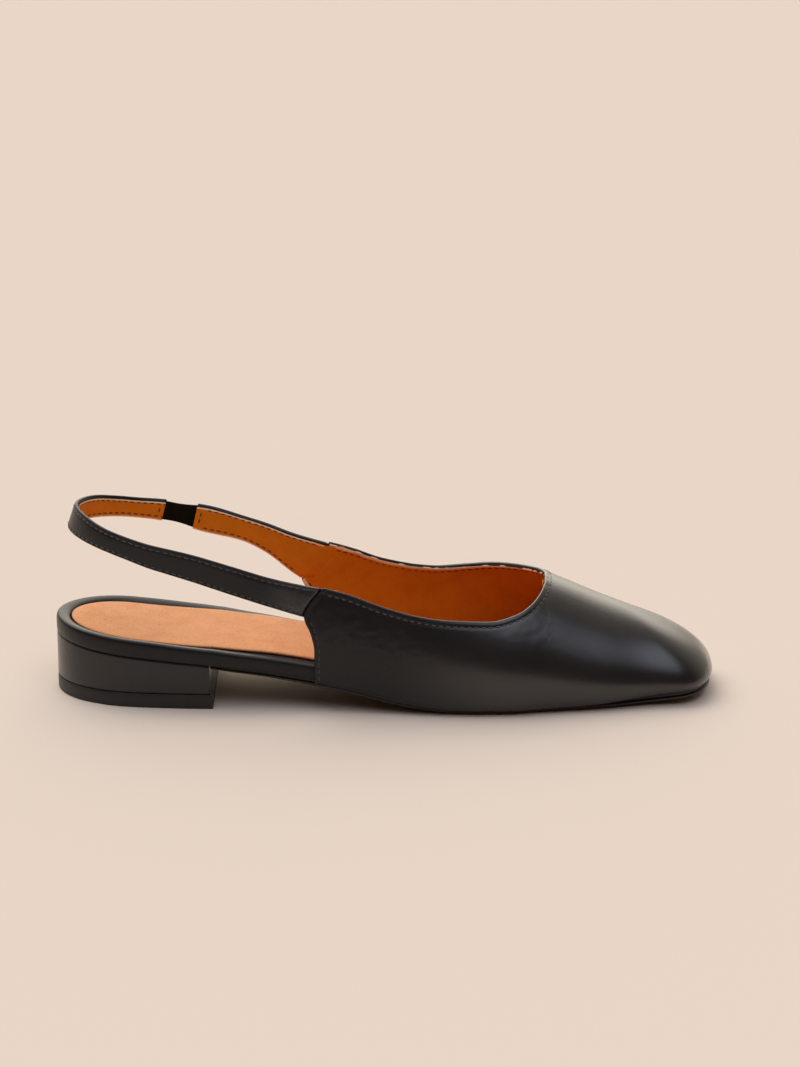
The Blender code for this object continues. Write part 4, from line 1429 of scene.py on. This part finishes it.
class SHOE_OT_stitching(bpy.types.Operator):
    """Stitching along the topline, the rear edges and the straps"""

    bl_idname = "shoe.stitching"
    bl_label = "Stitching"

    def execute(self, context):
        sewing = context.scene.shoe_sewing
        black = thread("black_thread", (0.040, 0.038, 0.034), 0.30)
        brown = thread("brown_thread", (0.035, 0.012, 0.004), 0.6)
        size = (sewing.pitch, sewing.length, sewing.radius)
        lines = edge_lines()
        outside, inside = bmesh.new(), bmesh.new()
        for key, sign in (("topline", 1), (("rear", LATERAL), 1), (("rear", MEDIAL), -1)):
            topline = key == "topline"
            line = lines[key] if topline else split_rear(key[1], lines[key])[0]
            margin = sewing.margin if topline else sewing.rear_margin
            points, normals = respaced(*line, 0.5 * MM)
            row = offset_line(points, normals, sign * margin) - normals * STITCH_DEPTH
            add_stitches(outside, row, normals, *size, skip=STITCH_SKIP)
            row = offset_line(points, normals, sign * INNER_MARGIN) - normals * UPPER_WALL
            add_stitches(inside, row, -normals, *size, skip=STITCH_SKIP)
        (sling, _), (tab, _), _ = strap_faces()
        low, high = sewing.strap_low, sewing.strap_high
        ends = ((sling, 8, None, -2.0 * MM), (tab, 3, -8, 2.2 * MM))
        for face, first, last, away in ends:
            for across in (low, -high):
                line = strap_line(face, across)
                add_stitches(outside, *(part[first:last] for part in line), *size)
            for across in (INNER_STRAP_MARGIN, -INNER_STRAP_MARGIN):
                line = turned_in(*strap_line(face, across))
                add_stitches(inside, *(part[first:last] for part in line), *size)
            add_stitches(outside, *end_line(face, away, (low, high)), *size)
            inner = turned_in(*end_line(face, away, (INNER_MARGIN, INNER_MARGIN)))
            add_stitches(inside, *inner, *size)
        put_closed("black_stitches", outside, [black], None, "strap_leather")
        put_closed("brown_stitches", inside, [brown], None, "strap_leather")
        return {"FINISHED"}


# Stage


class SHOE_OT_stage(bpy.types.Operator):
    """Stage: camera, soft light and pale floor"""

    bl_idname = "shoe.stage"
    bl_label = "Stage"

    def execute(self, context):
        stage = context.scene.shoe_stage
        distance = FOCAL_PIXELS / PIXELS_PER_MM * MM
        level, height = math.cos(CAMERA_ELEVATION), math.sin(CAMERA_ELEVATION)
        camera_place = np.array([0, -distance * level, distance * height])
        turn = stage.turn
        spin = np.array(
            [[math.cos(turn), -math.sin(turn), 0], [math.sin(turn), math.cos(turn), 0], [0, 0, 1]]
        )
        place = spin @ (camera_place - HEEL_IN_VIEW) - ORIGIN
        data = bpy.data.cameras.new("view")
        data.lens = stage.focal
        data.sensor_width = 36
        data.clip_start, data.clip_end = 0.01, 50
        camera = bpy.data.objects.new("view", data)
        camera.location = place
        camera.rotation_euler = (math.pi / 2 - stage.pitch, 0, turn)
        context.scene.collection.objects.link(camera)
        context.scene.camera = camera

        mesh = bmesh.new()
        bmesh.ops.create_grid(mesh, x_segments=8, y_segments=8, size=9.0)
        data = bpy.data.meshes.new("floor")
        mesh.to_mesh(data)
        mesh.free()
        floor = bpy.data.objects.new("floor", data)
        floor.location = (0, 0, -0.02 * MM)
        recipe = Recipe(bpy.data.materials.new("paper_floor"))
        tint = recipe.noise(0.9, 2, 0.5)
        first = tuple(stage.floor)
        second = tuple(c * 0.99 for c in first)
        recipe.surface(base_color=recipe.mix(tint, first, second), roughness=1.0)
        recipe.surface(specular_ior_level=0.0)
        data.materials.append(recipe.owner)
        context.scene.collection.objects.link(floor)

        world = bpy.data.worlds.new("studio")
        sky = Recipe(world, "Generated")
        light = sky.mix(sky.axis("Y").band(-0.35, 0.65), FRONT_LIGHT, BACK_LIGHT)
        for direction, fading, ending, colour in SOFT_LIGHTS:
            lit = sky.facing(direction).band(
                math.cos(math.radians(ending)), math.cos(math.radians(fading))
            )
            light = sky.mix(lit, light, colour)
        background = world.node_tree.nodes["Background"]
        sky.feed(background.inputs["Color"], light)
        background.inputs["Strength"].default_value = stage.light
        context.scene.world = world
        context.scene.view_settings.view_transform = "Standard"
        return {"FINISHED"}


class SHOE_PT_panel(bpy.types.Panel):
    """Lists the shoe's pieces and settings"""

    bl_idname = "SHOE_PT_panel"
    bl_label = "Slingback flat"
    bl_space_type = "VIEW_3D"
    bl_region_type = "UI"
    bl_category = "Shoe"

    def draw(self, context):
        for operator in OPERATORS:
            self.layout.operator(operator.bl_idname)
        for group in ("shoe_finish", "shoe_sewing", "shoe_stage"):
            settings = getattr(context.scene, group)
            for name in settings.__annotations__:
                self.layout.prop(settings, name)


GROUPS = {"shoe_finish": ShoeFinish, "shoe_sewing": ShoeSewing, "shoe_stage": ShoeStage}
OPERATORS = (
    SHOE_OT_upper,
    SHOE_OT_straps,
    SHOE_OT_footbed,
    SHOE_OT_heel,
    SHOE_OT_sole,
    SHOE_OT_stitching,
    SHOE_OT_stage,
)


def register():
    for name, group in GROUPS.items():
        bpy.utils.register_class(group)
        setattr(bpy.types.Scene, name, bpy.props.PointerProperty(type=group))
    for item in (*OPERATORS, SHOE_PT_panel):
        bpy.utils.register_class(item)


def unregister():
    for item in (SHOE_PT_panel, *reversed(OPERATORS)):
        bpy.utils.unregister_class(item)
    for name, group in GROUPS.items():
        delattr(bpy.types.Scene, name)
        bpy.utils.unregister_class(group)


def main():
    register()
    bpy.ops.shoe.upper()
    bpy.ops.shoe.straps()
    bpy.ops.shoe.footbed()
    bpy.ops.shoe.heel()
    bpy.ops.shoe.sole()
    bpy.ops.shoe.stitching()
    bpy.ops.shoe.stage()


if __name__ == "__main__":
    main()
